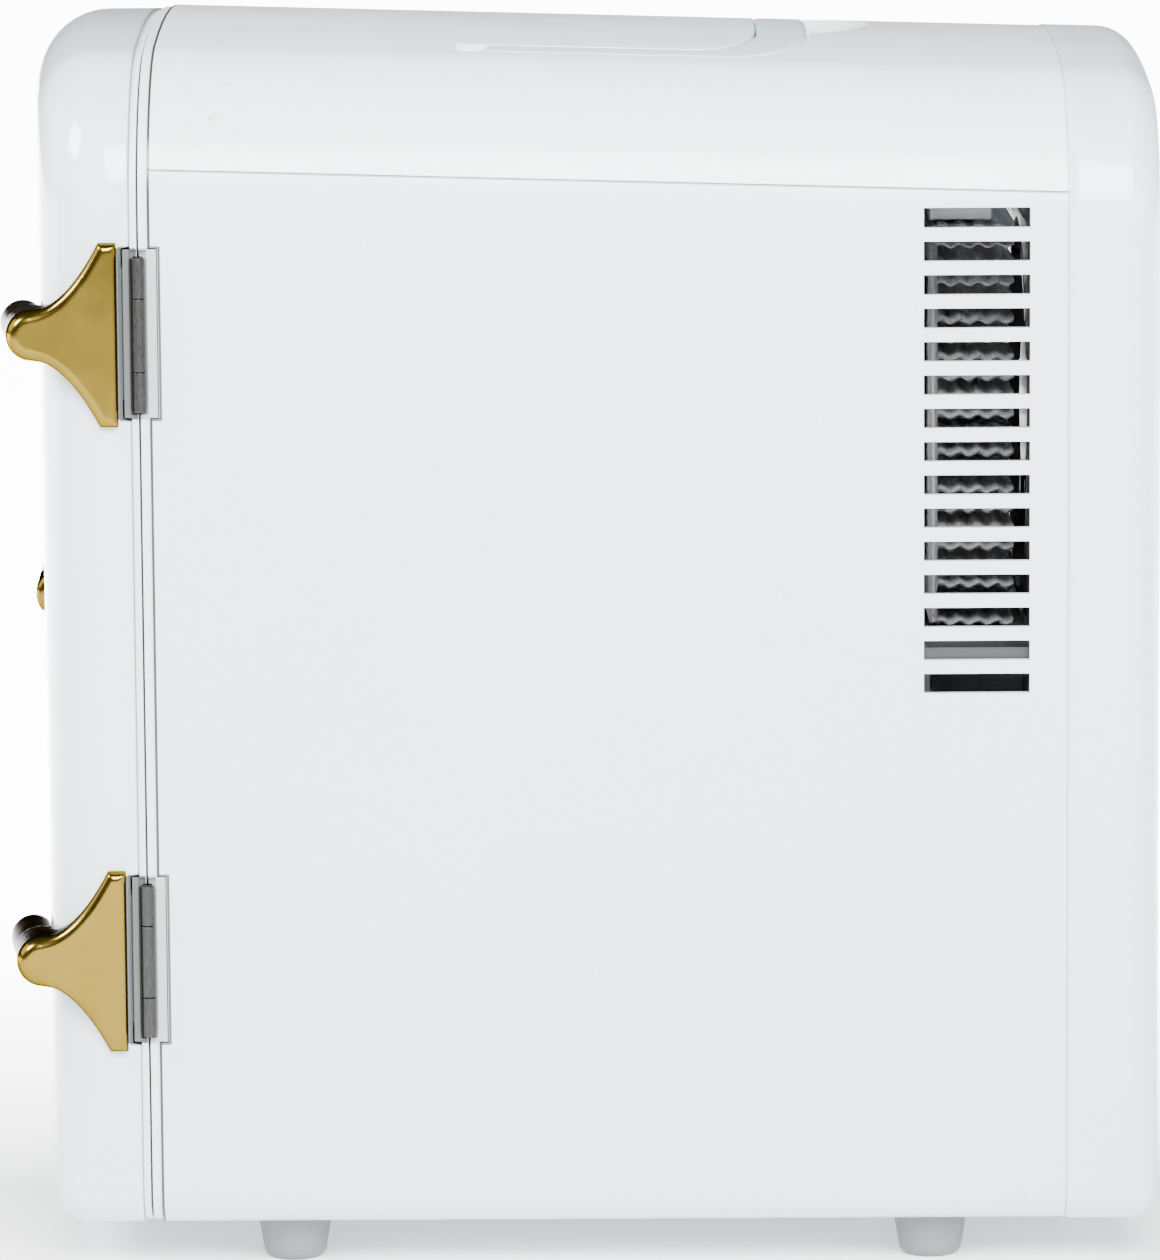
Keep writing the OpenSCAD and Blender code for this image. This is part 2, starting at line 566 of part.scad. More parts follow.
module hinge_leaf_door() color(steel) for (z = hinge_z) leaf(z, -1);
module hinge_pins() color([0.55, 0.55, 0.54]) for (z = hinge_z) translate([hinge_x, hinge_y, z - hinge_h / 2 - 0.1]) cylinder(r = pin_r, h = hinge_h + 0.2);
module hinge_screws_body() color(steel) for (z = hinge_z, dz = [-10.5, 10.5]) {
    cyl_y(2.2, frame_y + 0.02, frame_y + 0.55, w2 - 7.5, z + dz);
    cyl_y(1.2, frame_y + 0.3, front_y + 4.5, w2 - 7.5, z + dz);
}
module hinge_screws_door() color(steel) for (z = hinge_z, dz = [-10.5, 10.5]) {
    cyl_y(2.2, door_back_y - 0.55, door_back_y - 0.02, w2 - 7.5, z + dz);
    cyl_y(1.2, door_y - 5.5, door_back_y - 0.3, w2 - 7.5, z + dz);
}

// ---- door ----
door_cz = sqrt(pow(door_r - door_edge_r, 2) - pow(w2 - door_edge_r, 2));
// Plan of the door: bulged front, rounded vertical edges
module door_plan(off, y1) {
    cy = door_front + door_r;
    ey = cy - door_cz;
    ea = atan2(w2 - door_edge_r, door_cz);
    h = concat([[w2 - off, y1]], arc(w2 - door_edge_r, ey, door_edge_r - off, 0, -90 + ea, 8),
        [for (i = [1:5]) let (a = ea - ea * i / 5.5) [(door_r - off) * sin(a), cy - (door_r - off) * cos(a)]]);
    polygon(concat(h, flip(h)));
}
// Arched outline of the door seen from the front
module door_outline(inset) {
    r = max(base_r - inset, 0.8);
    a = arc(w2 - inset - r, base_z + inset + r, r, -90, 0, 4);
    h = [for (p = half_arch(inset, 8)) [p[0], p[1] + door_top]];
    polygon(concat(a, h, flip(h), flip(a)));
}
module door_block(off, y1) intersection() {
    hull() {
        translate([0, y1, 0]) xz(-0.1, 0) door_outline(off);
        for (i = [0:4]) let (a = 22.5 * i, r = door_edge_r - off, y = door_front + off + r - r * sin(a))
            translate([0, y, 0]) xz(0, 0.1) door_outline(off + r * (1 - cos(a)));
        // the bottom edge is tighter than the others
        box([-w2 + 22, door_front + off + 2, base_z + off + 0.6], [w2 - 22, door_front + off + 8, base_z + 20]);
        box([-w2 + 24, door_front + off + 0.3, base_z + off + 3], [w2 - 24, door_front + off + 3, base_z + 21]);
    }
    linear_extrude(320) door_plan(off, y1 + 0.001);
}
module finger_recess(g) translate([-38, 0, pull_z]) intersection() {
    box([-29 - g, door_front - 5, -17 - g], [29 + g, door_front + 10 + g, 17 + g]);
    translate([0, door_front - 27 + 37, 0]) cylinder(r = 46 + g, h = 80, center = true);
}
pull_post = [-3.5, -73];
module door_shell() color(white) difference() {
    union() {
        difference() {
            door_block(0, door_y);
            door_block(wall, door_y + 1);
        }
        intersection() {
            door_block(0.6, door_y - 1);
            finger_recess(2);
        }
    }
    finger_recess(0);
    for (x = pull_post) cyl_y(1.6, door_front - 3, door_front + 12, x, pull_z);
    hinge_pocket(door_y - 2, door_y + 2, 0);
}
module door_panel() color(grey_white) difference() {
    union() {
        difference() {
            xz(door_y + 0.05, door_back_y) door_outline(0.5);
            box([-79, door_y - 1, liner_lo - 7], [79, door_back_y + 1, liner_hi + 7]);
        }
        // Walls and floor of the gasket groove
        difference() {
            box([-80, door_y - 6, liner_lo - 8], [80, door_back_y, liner_hi + 8]);
            difference() {
                box([-78.4, door_y - 4.6, liner_lo - 6.4], [78.4, door_back_y + 1, liner_hi + 6.4]);
                box([-70, door_y - 5, liner_lo + 2], [70, door_back_y + 1, liner_hi - 2]);
            }
        }
        // Plug that enters the cabin
        box([-66, door_back_y - 0.1, liner_lo + 6], [66, -92, liner_hi - 6]);
        for (z = hinge_z) {
            box([w2 - 4.1, door_y - 1.6, z - 18.8], [w2 - 0.35, door_back_y, z + 19.3]);
            box([w2 - 13.5, door_y - 5.5, z - 15], [w2 - 2.6, door_y + 0.5, z + 15]);
        }
    }
    // Hollow of the plug, open towards the door's foam
    box([-64, door_y - 7, liner_lo + 8], [64, -93.8, liner_hi - 8]);
    for (z = hinge_z) {
        translate([hinge_x, hinge_y, z - hinge_h / 2 - 0.6]) cylinder(r = barrel_r + 0.5, h = hinge_h + 2.4);
        box([w2 - 12.6, door_back_y - 0.9, z - hinge_h / 2 - 0.2], [w2 + 2, door_back_y + 1, z + hinge_h / 2 + 0.2]);
        for (dz = [-10.5, 10.5]) cyl_y(1.2, door_y - 6, door_back_y + 1, w2 - 7.5, z + dz);
    }
    for (x = [-40, 40]) box([x - 3, -94, 64], [x + 3, -91, 70]);
}
module door_insulation() color([0.95, 0.95, 0.93]) difference() {
    union() {
        box([-63.5, -121, liner_lo + 8.5], [63.5, -94.1, liner_hi - 8.5]);
        box([-77, -117, 28], [77, door_y - 6.3, 252]);
    }
    difference() {
        box([-120, -140, 0], [120, -90, 300]);
        door_block(wall + 0.5, -90);
    }
    finger_recess(2.4);
    for (x = pull_post) cyl_y(4, -140, -110, x, pull_z);
    for (x = [-40, 40]) box([x - 4, -96, 62], [x + 4, -91, 72]);
}
module ring(x, z, t) difference() {
    square([2 * x, z], center = true);
    square([2 * x - 2 * t, z - 2 * t], center = true);
}
mid_z = (liner_lo + liner_hi) / 2;
seal_h = liner_hi - liner_lo + 12;
module door_gasket() color([0.86, 0.87, 0.87]) difference() {
    translate([0, 0, mid_z]) xz(door_y - 4.55, frame_y - 0.12) ring(78, seal_h - 0.2, 7.4);
    translate([0, 0, mid_z]) xz(-100.6, -98.9) ring(76.6, seal_h - 3, 4.6);
}
module magnet_strip() color([0.2, 0.2, 0.2]) translate([0, 0, mid_z]) xz(-100.55, -98.95) ring(76.55, seal_h - 3.1, 4.5);

// Half height of a hinge cover at a distance ahead of its wide end
function bell(u) = let (v = max(0, min(1, (u - 4.2) / 16.5))) nose_r + (cover_h / 2 - nose_r) * pow(1 - v, 2);
module hinge_cover(z) {
    y0 = -102.7;
    top = concat([for (i = [0:12]) let (u = i < 1 ? 0 : 4.2 + (i - 1) * 1.3) [y0 - u, bell(u)]], arc(y0 - 19.4, 0, nose_r, 90, 180, 8));
    intersection() {
        difference() {
            union() {
                translate([0, 0, z]) yz(w2 - 15, w2 + cover_t) polygon(concat(top, [for (i = [len(top) - 1:-1:0]) [top[i][0], -top[i][1]]]));
                // Bar that runs round to the front of the door
                translate([w2 + cover_t + 2, -121.7, z]) rotate([0, 0, 8]) rotate([0, -90, 0])
                    rotate_extrude() polygon(concat([[0, 0], [nose_r - 0.05, 0]], arc(0, 36, nose_r - 0.05, 0, 90, 8)));
            }
            linear_extrude(320) door_plan(-0.05, door_y + 3);
        }
        box([0, -140, 0], [w2 + cover_t, -102.7, 300]);
    }
}
module upper_hinge_cover() color(gold) hinge_cover(cover_top_z);
module lower_hinge_cover() color(gold) hinge_cover(cover_low_z);

// Door handle: a rounded bar on two posts over a finger recess
module pull_handle() color(gold) difference() {
    union() {
        intersection() {
            translate([-2.6, 0, pull_z]) rotate([0, 0, 2.6]) translate([0, door_front + 1.75, 0]) rotate([0, -90, 0]) cylinder(r = 6.1, h = pull_len);
            translate([-2.6, 0, 0]) rotate([0, 0, 2.6]) box([-pull_len, door_front - 5, pull_z - 7], [0, door_front - 0.2, pull_z + 7]);
        }
        for (x = pull_post) cyl_y(4.6, door_front - 2 + x * 0.0454, door_front + 6, x, pull_z);
    }
    linear_extrude(320) door_plan(-0.05, door_y + 3);
    for (x = pull_post) cyl_y(1.4, door_front - 2.4, door_front + 12, x, pull_z);
}
module handle_screws() color(steel) for (x = pull_post) {
    y = door_front + wall + 0.3 + (x < -50 ? 4.4 : 0);
    cyl_y(2.8, y, y + 2, x, pull_z);
    cyl_y(1.4, door_front - 2.2, y + 0.5, x, pull_z);
}
module door_bin() color([0.90, 0.92, 0.93]) {
    difference() {
        box([-58, -91.9, 58], [58, -74, 92]);
        box([-56.2, -90.1, 59.8], [56.2, -75.8, 93]);
    }
    for (x = [-40, 40]) box([x - 2.8, -93.6, 64.2], [x + 2.8, -91.8, 69.8]);
}

// ---- carry handle ----
module carry_handle() color(white) difference() {
    union() {
        intersection() {
            skin(0, bail_t, -60, 90);
            translate([0, 0, 200]) linear_extrude(120) bail_plan(0);
            box([-80, pivot_y, 200], [80, 90, 300]);
        }
        intersection() {
            both() cyl_x(5, bail_w2 - bail_arm, bail_w2, pivot_y, pivot_z);
            tilted(-60, 60) polygon(arch(0, -80));
        }
        both() cyl_x(2.5, bail_w2 - bail_arm - 1.6, bail_w2 + 1.9, pivot_y, pivot_z);
    }
    // Finger relief under the rear edge of the grip
    translate([0, 57.5, crown(54) - 9.5]) rotate([0, 90, 0]) cylinder(r = 6.5, h = 52, center = true);
}

lower_shell();
top_cover();
rear_cover();
front_frame();
liner();
insulation();
feet();
foot_screws();
shelf();
cold_sink();
cold_fan_frame();
cold_grille();
spacer_block();
peltier_module();
tec_gasket();
hot_sink();
heatsink_screws();
duct_seal();
hot_fan_frame();
fan_screws();
rear_partition();
power_board();
power_components();
board_screws();
lead_wires();
ac_inlet();
inlet_pins();
dc_jack();
switch_body();
rear_cover_screws();
strike_ring();
hinge_leaf_body();
hinge_pins();
hinge_screws_body();
door_shell();
door_panel();
door_insulation();
door_gasket();
magnet_strip();
hinge_leaf_door();
hinge_screws_door();
upper_hinge_cover();
lower_hinge_cover();
pull_handle();
handle_screws();
door_bin();
carry_handle();
hot_fan_rotor();
cold_fan_rotor();
mode_rocker();
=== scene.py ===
import math
import bpy
import bmesh
import numpy as np
from mathutils import Vector, Matrix
from mathutils.geometry import delaunay_2d_cdt


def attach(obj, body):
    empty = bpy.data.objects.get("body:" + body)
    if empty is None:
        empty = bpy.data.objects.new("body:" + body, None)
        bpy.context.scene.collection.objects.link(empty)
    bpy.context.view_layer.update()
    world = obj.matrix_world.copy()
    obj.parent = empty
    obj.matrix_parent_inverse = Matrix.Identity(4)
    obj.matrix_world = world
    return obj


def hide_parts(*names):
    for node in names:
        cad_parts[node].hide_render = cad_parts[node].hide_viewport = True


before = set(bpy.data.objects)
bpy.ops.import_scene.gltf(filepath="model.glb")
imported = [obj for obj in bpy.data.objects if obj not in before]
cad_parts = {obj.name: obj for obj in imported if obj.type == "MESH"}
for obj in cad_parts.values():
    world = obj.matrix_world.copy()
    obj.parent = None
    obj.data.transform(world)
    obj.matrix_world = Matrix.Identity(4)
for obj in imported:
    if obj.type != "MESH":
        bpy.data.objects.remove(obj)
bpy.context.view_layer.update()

MM = 0.001
W2, CROWN, FRONT_Y, BACK_Y, REAR_Y = 94.0, 284.5, -95.8, 111.3, 132.4
TILT = math.radians(1.736)
CROWN_R, CORNER_R, BASE_R, BASE_Z = 390.0, 36.0, 8.0, 10.5
DOOR_Y, DOOR_FRONT, DOOR_R, DOOR_E, DOOR_TOP = -99.9, -125.8, 669.0, 14.0, 283.7
HINGE_Z = (72.7, 215.9)
COVER_Z = (72.8, 216.0)
PULL_Z = 144.75
UNIT_Z = 189.5
CX = W2 - CORNER_R
CZ = -CROWN_R + math.sqrt((CROWN_R - CORNER_R) ** 2 - CX ** 2)
CA = math.atan2(CX, CROWN_R + CZ)


def crown(y):
    return CROWN - math.tan(TILT) * (y - FRONT_Y)


# ---------------------------------------------------------------- materials
def nodes_of(mat):
    mat.use_nodes = True
    nt = mat.node_tree
    bsdf = next(n for n in nt.nodes if n.type == "BSDF_PRINCIPLED")
    return nt, bsdf


def noise(nt, co, scale, detail=3.0, rough=0.5):
    n = nt.nodes.new("ShaderNodeTexNoise")
    n.inputs["Scale"].default_value = scale
    n.inputs["Detail"].default_value = detail
    n.inputs["Roughness"].default_value = rough
    nt.links.new(co, n.inputs["Vector"])
    return n.outputs["Fac"]


def ramp(nt, fac, stops):
    r = nt.nodes.new("ShaderNodeValToRGB")
    e = r.color_ramp.elements
    while len(e) < len(stops):
        e.new(0.5)
    for el, (p, c) in zip(e, stops):
        el.position = p
        el.color = c if len(c) == 4 else (*c, 1)
    nt.links.new(fac, r.inputs["Fac"])
    return r.outputs["Color"]


def mapr(nt, fac, a, b, c, d):
    m = nt.nodes.new("ShaderNodeMapRange")
    for i, v in zip(("From Min", "From Max", "To Min", "To Max"), (a, b, c, d)):
        m.inputs[i].default_value = v
    nt.links.new(fac, m.inputs["Value"])
    return m.outputs["Result"]


def math_node(nt, op, a, b=None, clamp=False):
    m = nt.nodes.new("ShaderNodeMath")
    m.operation = op
    m.use_clamp = clamp
    for i, v in enumerate((a, b)):
        if v is None:
            continue
        if isinstance(v, (int, float)):
            m.inputs[i].default_value = v
        else:
            nt.links.new(v, m.inputs[i])
    return m.outputs[0]


def mix(nt, fac, a, b):
    m = nt.nodes.new("ShaderNodeMix")
    m.data_type = "RGBA"
    for key, v in (("Factor", fac), ("A", a), ("B", b)):
        sock = [s for s in m.inputs if s.name == key and (s.type == "RGBA" or key == "Factor") and s.enabled]
        sock = sock[0]
        if isinstance(v, tuple):
            sock.default_value = (*v[:3], 1)
        elif isinstance(v, float):
            sock.default_value = v
        else:
            nt.links.new(v, sock)
    return [o for o in m.outputs if o.type == "RGBA"][0]


def coords(nt, stretch=None):
    t = nt.nodes.new("ShaderNodeTexCoord")
    if not stretch:
        return t.outputs["Object"]
    m = nt.nodes.new("ShaderNodeMapping")
    m.inputs["Scale"].default_value = stretch
    nt.links.new(t.outputs["Object"], m.inputs["Vector"])
    return m.outputs["Vector"]


def bump(nt, bsdf, height, strength, distance):
    b = nt.nodes.new("ShaderNodeBump")
    b.inputs["Strength"].default_value = strength
    b.inputs["Distance"].default_value = distance
    nt.links.new(height, b.inputs["Height"])
    nt.links.new(b.outputs["Normal"], bsdf.inputs["Normal"])


def box_mask(nt, lo, hi, soft):
    """1 inside a box in object space, fading over soft metres."""
    t = nt.nodes.new("ShaderNodeTexCoord")
    s = nt.nodes.new("ShaderNodeSeparateXYZ")
    nt.links.new(t.outputs["Object"], s.inputs[0])
    out = None
    for i in range(3):
        if lo[i] is None:
            continue
        c, h = (lo[i] + hi[i]) / 2, (hi[i] - lo[i]) / 2
        d = math_node(nt, "ABSOLUTE", math_node(nt, "SUBTRACT", s.outputs[i], c))
        v = mapr(nt, d, h - soft, h, 1.0, 0.0)
        out = v if out is None else math_node(nt, "MULTIPLY", out, v)
    return out


def plane_mask(nt, tilt, at, half, soft):
    """1 within half of the line z + tilt * y = at."""
    t = nt.nodes.new("ShaderNodeTexCoord")
    s = nt.nodes.new("ShaderNodeSeparateXYZ")
    nt.links.new(t.outputs["Object"], s.inputs[0])
    v = math_node(nt, "ADD", s.outputs[2], math_node(nt, "MULTIPLY", s.outputs[1], tilt))
    return mapr(nt, math_node(nt, "ABSOLUTE", math_node(nt, "SUBTRACT", v, at)), half, half + soft, 1.0, 0.0)


def ring_mask(nt, y, z, radius, half):
    t = nt.nodes.new("ShaderNodeTexCoord")
    s = nt.nodes.new("ShaderNodeSeparateXYZ")
    nt.links.new(t.outputs["Object"], s.inputs[0])
    dy = math_node(nt, "SUBTRACT", s.outputs[1], y)
    dz = math_node(nt, "SUBTRACT", s.outputs[2], z)
    d = math_node(nt, "SQRT", math_node(nt, "ADD", math_node(nt, "MULTIPLY", dy, dy), math_node(nt, "MULTIPLY", dz, dz)))
    v = mapr(nt, math_node(nt, "ABSOLUTE", math_node(nt, "SUBTRACT", d, radius)), half, half * 2, 1.0, 0.0)
    return math_node(nt, "MULTIPLY", v, math_node(nt, "GREATER_THAN", s.outputs[0], 0.09))


def plastic(name, col, rough=0.25, grain=900.0, grain_h=0.00002, var=0.02, coat=0.0, spec=0.5, marks=None, painted_shade_boxes=(), planes=(), rings=()):
    mat = bpy.data.materials.new(name)
    nt, b = nodes_of(mat)
    co = coords(nt)
    lo = tuple(c * (1 - var) for c in col)
    base = ramp(nt, noise(nt, co, 9.0, 4.0), [(0.3, lo), (0.7, col)])
    r = mapr(nt, noise(nt, co, 40.0, 5.0, 0.6), 0.3, 0.7, rough * 0.82, rough * 1.22)
    if marks:
        for lo_, hi_, soft, stretch, thr, dark, amount in marks:
            n = noise(nt, coords(nt, stretch), 1.0, 6.0, 0.65)
            m = mapr(nt, n, thr, thr + 0.04, 0.0, amount)
            m = math_node(nt, "MULTIPLY", m, box_mask(nt, lo_, hi_, soft))
            base = mix(nt, m, base, dark)
            r = math_node(nt, "ADD", r, math_node(nt, "MULTIPLY", m, 0.3))
    # painted shade: each box darkens the colour where seam gaps, hinge pockets and tabs would lie in shade
    for lo_, hi_, dark, amount in painted_shade_boxes:
        base = mix(nt, math_node(nt, "MULTIPLY", box_mask(nt, lo_, hi_, 0.00012), amount), base, dark)
    # painted shade: a dark line along a tilted seam
    for tilt, at, half, dark, amount in planes:
        base = mix(nt, math_node(nt, "MULTIPLY", plane_mask(nt, tilt, at, half, 0.0001), amount), base, dark)
    for y_, z_, rad, half, dark, amount in rings:
        base = mix(nt, math_node(nt, "MULTIPLY", ring_mask(nt, y_, z_, rad, half), amount), base, dark)
    nt.links.new(base, b.inputs["Base Color"])
    nt.links.new(r, b.inputs["Roughness"])
    b.inputs["Specular IOR Level"].default_value = spec
    b.inputs["Coat Weight"].default_value = coat
    b.inputs["Coat Roughness"].default_value = 0.08
    bump(nt, b, noise(nt, co, grain, 2.0), 0.25, grain_h)
    return mat


def metal(name, col, rough, stretch=(60, 60, 60), streak=0.25, dark=None, grain=0.00002):
    mat = bpy.data.materials.new(name)
    nt, b = nodes_of(mat)
    co = coords(nt, stretch)
    n = noise(nt, co, 8.0, 6.0, 0.6)
    d = dark or tuple(c * 0.82 for c in col)
    nt.links.new(ramp(nt, n, [(0.25, d), (0.75, col)]), b.inputs["Base Color"])
    nt.links.new(mapr(nt, n, 0.2, 0.8, rough * (1 - streak), rough * (1 + streak)), b.inputs["Roughness"])
    b.inputs["Metallic"].default_value = 1.0
    bump(nt, b, noise(nt, co, 24.0, 3.0), 0.2, grain)
    return mat


M = {}
DARK = (0.035, 0.038, 0.042)
scuff = [
    # fine scratches and scuffs low on the hinge side, and dust at the top cover's front edge
    ((0.09, -0.086, 0.104), (0.1, -0.034, 0.142), 0.012, (260, 620, 430), 0.62, (0.30, 0.28, 0.26), 0.6),
    ((0.09, -0.08, 0.02), (0.1, 0.11, 0.24), 0.03, (60, 190, 120), 0.70, (0.55, 0.53, 0.51), 0.45),
    # long faint vertical sink marks below the vents
    ((0.09, 0.07, 0.03), (0.1, 0.085, 0.2), 0.006, (200, 420, 12), 0.55, (0.66, 0.68, 0.70), 0.5),
]
specks = [((0.03, -0.0965, 0.24), (0.1, -0.072, 0.29), 0.01, (330, 520, 520), 0.62, (0.36, 0.28, 0.20), 0.7),
          ((-0.1, -0.09, 0.24), (0.1, 0.12, 0.29), 0.02, (120, 160, 140), 0.71, (0.5, 0.48, 0.45), 0.4)]


def pocket(y_edge, y_open, hinge_z):
    """Thin shadow lines round one hinge pocket."""
    a, b = sorted((y_edge, y_edge + (0.0007 if y_edge > y_open else -0.0007)))
    lo_y, hi_y = sorted((y_open, y_edge))
    z0, z1 = hinge_z * MM - 0.0191, hinge_z * MM + 0.0196
    return [((0.0915, a, z0 - 0.0004), (0.0946, b, z1 + 0.0004), DARK, 0.95),
            ((0.0915, lo_y - 0.0002, z1 - 0.0001), (0.0946, hi_y + 0.0002, z1 + 0.0005), DARK, 0.85),
            ((0.0915, lo_y - 0.0002, z0 - 0.0005), (0.0946, hi_y + 0.0002, z0 + 0.0001), DARK, 0.85)]


SIDE = (None, None)
# painted shade: dark lines along the part seams and round the hinge pockets, where the gaps would be in shade
shell_painted_shade = [((None, -0.0959, None), (None, -0.09515, None), DARK, 1.0), ((None, 0.1108, None), (None, 0.1114, None), (0.2, 0.21, 0.22), 0.45)]
door_painted_shade = [((None, -0.1002, None), (None, -0.0998, None), DARK, 0.65)]
for z in HINGE_Z:
    shell_painted_shade += pocket(-0.09365, -0.0958, z)
    door_painted_shade += pocket(-0.1019, -0.0999, z)
tab_shade = [((0.0885, -0.1021, z * MM - 0.0192), (0.0952, -0.0984, z * MM + 0.0197), (0.06, 0.068, 0.066), 0.95) for z in HINGE_Z]
tab_shade += [((0.0885, -0.0984, z * MM - 0.0192), (0.0952, -0.0935, z * MM + 0.0197), (0.36, 0.39, 0.40), 0.9) for z in HINGE_Z]
# painted shade in the corner where each cover's back edge meets the door
door_painted_shade += [((0.0915, -0.10305, z * MM - 0.0192), (0.0946, -0.1018, z * MM + 0.0197), (0.05, 0.055, 0.053), 0.9) for z in HINGE_Z]
# painted shade: a dark line along the seam between the top cover and the lower shell, on both materials
seam_line = math.tan(TILT)
seam_at = (CROWN - 31.5 + seam_line * FRONT_Y) * MM
WHITE = (0.66, 0.735, 0.795)
M["white_side"] = plastic("gloss_white_side", WHITE, 0.24, marks=scuff, painted_shade_boxes=shell_painted_shade,
                          planes=[(seam_line, seam_at - 0.0001, 0.00022, DARK, 0.7)], rings=[(0.101, 0.0179, 0.00125, 0.00009, (0.4, 0.41, 0.42), 0.8)])
# painted light: the top cover uses a lighter copy of the side's white, for the brighter light on the up-facing top; its
# specks are real dust
M["white_painted_top_light"] = plastic("gloss_white_painted_top_light", (0.77, 0.835, 0.865), 0.22, marks=specks, painted_shade_boxes=shell_painted_shade, planes=[(seam_line, seam_at, 0.00018, DARK, 0.55)])
M["white"] = plastic("gloss_white", WHITE, 0.22)
M["white_door"] = plastic("gloss_white_door", WHITE, 0.15, coat=0.2, painted_shade_boxes=door_painted_shade)
M["inner"] = plastic("inner_white", (0.72, 0.755, 0.78), 0.34, 1400, painted_shade_boxes=tab_shade)
M["liner"] = plastic("liner_white", (0.80, 0.81, 0.80), 0.28)
M["foam"] = plastic("foam_white", (0.84, 0.84, 0.82), 0.8, 260, 0.0004, 0.05)
M["foot"] = plastic("foot_grey", (0.15, 0.16, 0.168), 0.42, 1500, 0.00005, 0.08)
M["shelf"] = plastic("shelf_white", (0.74, 0.78, 0.81), 0.16)
M["grille"] = plastic("grille_white", (0.70, 0.72, 0.73), 0.35)
M["ceramic"] = plastic("ceramic_white", (0.82, 0.82, 0.78), 0.6)
M["foam_grey"] = plastic("foam_grey", (0.06, 0.06, 0.065), 0.9, 500, 0.0002, 0.2)
M["foam_light"] = plastic("foam_light", (0.9, 0.89, 0.87), 0.85, 600, 0.0002, 0.1)
M["black"] = plastic("black_plastic", (0.018, 0.018, 0.02), 0.38, 1500, 0.00004, 0.15)
M["partition"] = plastic("partition_grey", (0.045, 0.046, 0.049), 0.45, 1200, 0.00003, 0.1)
M["board"] = plastic("board_green", (0.03, 0.14, 0.06), 0.35, 700, 0.00004, 0.3)
M["parts"] = plastic("component_mix", (0.36, 0.28, 0.07), 0.4, 300, 0.00003, 0.5)
M["lead"] = plastic("lead_red", (0.42, 0.03, 0.025), 0.4)
M["seal"] = plastic("seal_grey", (0.62, 0.64, 0.64), 0.6, 900, 0.00006, 0.05)
M["magnet"] = plastic("magnet_dark", (0.04, 0.035, 0.035), 0.7)
M["gold"] = metal("gold_plate", (0.255, 0.18, 0.031), 0.19, (14, 14, 14), 0.3, (0.205, 0.14, 0.022), 0.000012)
M["gold"].node_tree.nodes["Principled BSDF"].inputs["Specular Tint"].default_value = (0.03, 0.022, 0.012, 1)
M["steel"] = metal("screw_steel", (0.55, 0.55, 0.54), 0.3)
M["hinge"] = metal("hinge_nickel", (0.085, 0.085, 0.082), 0.3, (900, 900, 60), 0.3, (0.03, 0.03, 0.03))
M["fin"] = metal("fin_aluminium", (0.80, 0.81, 0.82), 0.42, (40, 900, 900), 0.35, (0.45, 0.45, 0.46))
M["fin"].node_tree.nodes["Principled BSDF"].inputs["Metallic"].default_value = 0.35
M["block"] = metal("block_aluminium", (0.70, 0.71, 0.72), 0.32, (40, 40, 700))
M["pin"] = metal("pin_brass", (0.66, 0.58, 0.36), 0.2)

NODE_MAT = {
    "lower_shell": "white_side", "top_cover": "white_painted_top_light", "rear_cover": "white", "front_frame": "inner", "liner": "liner",
    "insulation": "foam", "feet": "foot", "foot_screws": "steel", "shelf": "shelf", "cold_sink": "fin", "cold_fan_frame": "black",
    "cold_grille": "grille", "spacer_block": "block", "peltier_module": "ceramic", "tec_gasket": "foam_grey", "hot_sink": "fin",
    "heatsink_screws": "steel", "duct_seal": "foam_light", "hot_fan_frame": "black", "fan_screws": "steel", "rear_partition": "partition",
    "power_board": "board", "power_components": "parts", "board_screws": "steel", "lead_wires": "lead", "ac_inlet": "black",
    "inlet_pins": "pin", "dc_jack": "black", "switch_body": "black", "rear_cover_screws": "steel", "strike_ring": "steel",
    "hinge_leaf_body": "hinge", "hinge_pins": "hinge", "hinge_screws_body": "steel", "door_shell": "white_door", "door_panel": "inner",
    "door_insulation": "foam", "door_gasket": "seal", "magnet_strip": "magnet", "hinge_leaf_door": "hinge", "hinge_screws_door": "steel",
    "upper_hinge_cover": "gold", "lower_hinge_cover": "gold", "pull_handle": "gold", "handle_screws": "steel", "door_bin": "shelf",
    "carry_handle": "white", "hot_fan_rotor": "black", "cold_fan_rotor": "black", "mode_rocker": "black"}
BEVEL = {"lower_shell": 0.22, "top_cover": 0.3, "front_frame": 0.25, "liner": 0.6, "feet": 0.5, "shelf": 0.4, "cold_grille": 0.4,
         "door_panel": 0.3, "door_gasket": 0.5, "door_bin": 0.5, "carry_handle": 1.0, "hinge_leaf_body": 0.16, "hinge_leaf_door": 0.16,
         "mode_rocker": 0.5, "switch_body": 0.3, "ac_inlet": 0.3, "dc_jack": 0.3, "hot_fan_frame": 0.5, "cold_fan_frame": 0.4,
         "hot_fan_rotor": 0.3, "cold_fan_rotor": 0.2, "duct_seal": 0.4, "rear_partition": 0.3, "power_components": 0.4, "rear_cover": 0.3,
         "door_shell": 0.2, "pull_handle": 0.6, "upper_hinge_cover": 0.6, "lower_hinge_cover": 0.6, "hinge_pins": 0.1}


def set_material(o, mat):
    if not o.material_slots:
        o.data.materials.append(mat)
    for s in o.material_slots:
        s.material = mat


for name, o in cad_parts.items():
    set_material(o, M[NODE_MAT[name]])
    w = o.modifiers.new("weld", "WELD")
    w.merge_threshold = 1e-6
    if name in BEVEL:
        bv = o.modifiers.new("edges", "BEVEL")
        bv.width = BEVEL[name] * MM
        bv.segments = 2
        bv.limit_method = "ANGLE"
        bv.angle_limit = math.radians(38)
        bv.harden_normals = True
        bv.use_clamp_overlap = True
    wn = o.modifiers.new("normals", "WEIGHTED_NORMAL")
    wn.keep_sharp = True
    o.data.polygons.foreach_set("use_smooth", [True] * len(o.data.polygons))


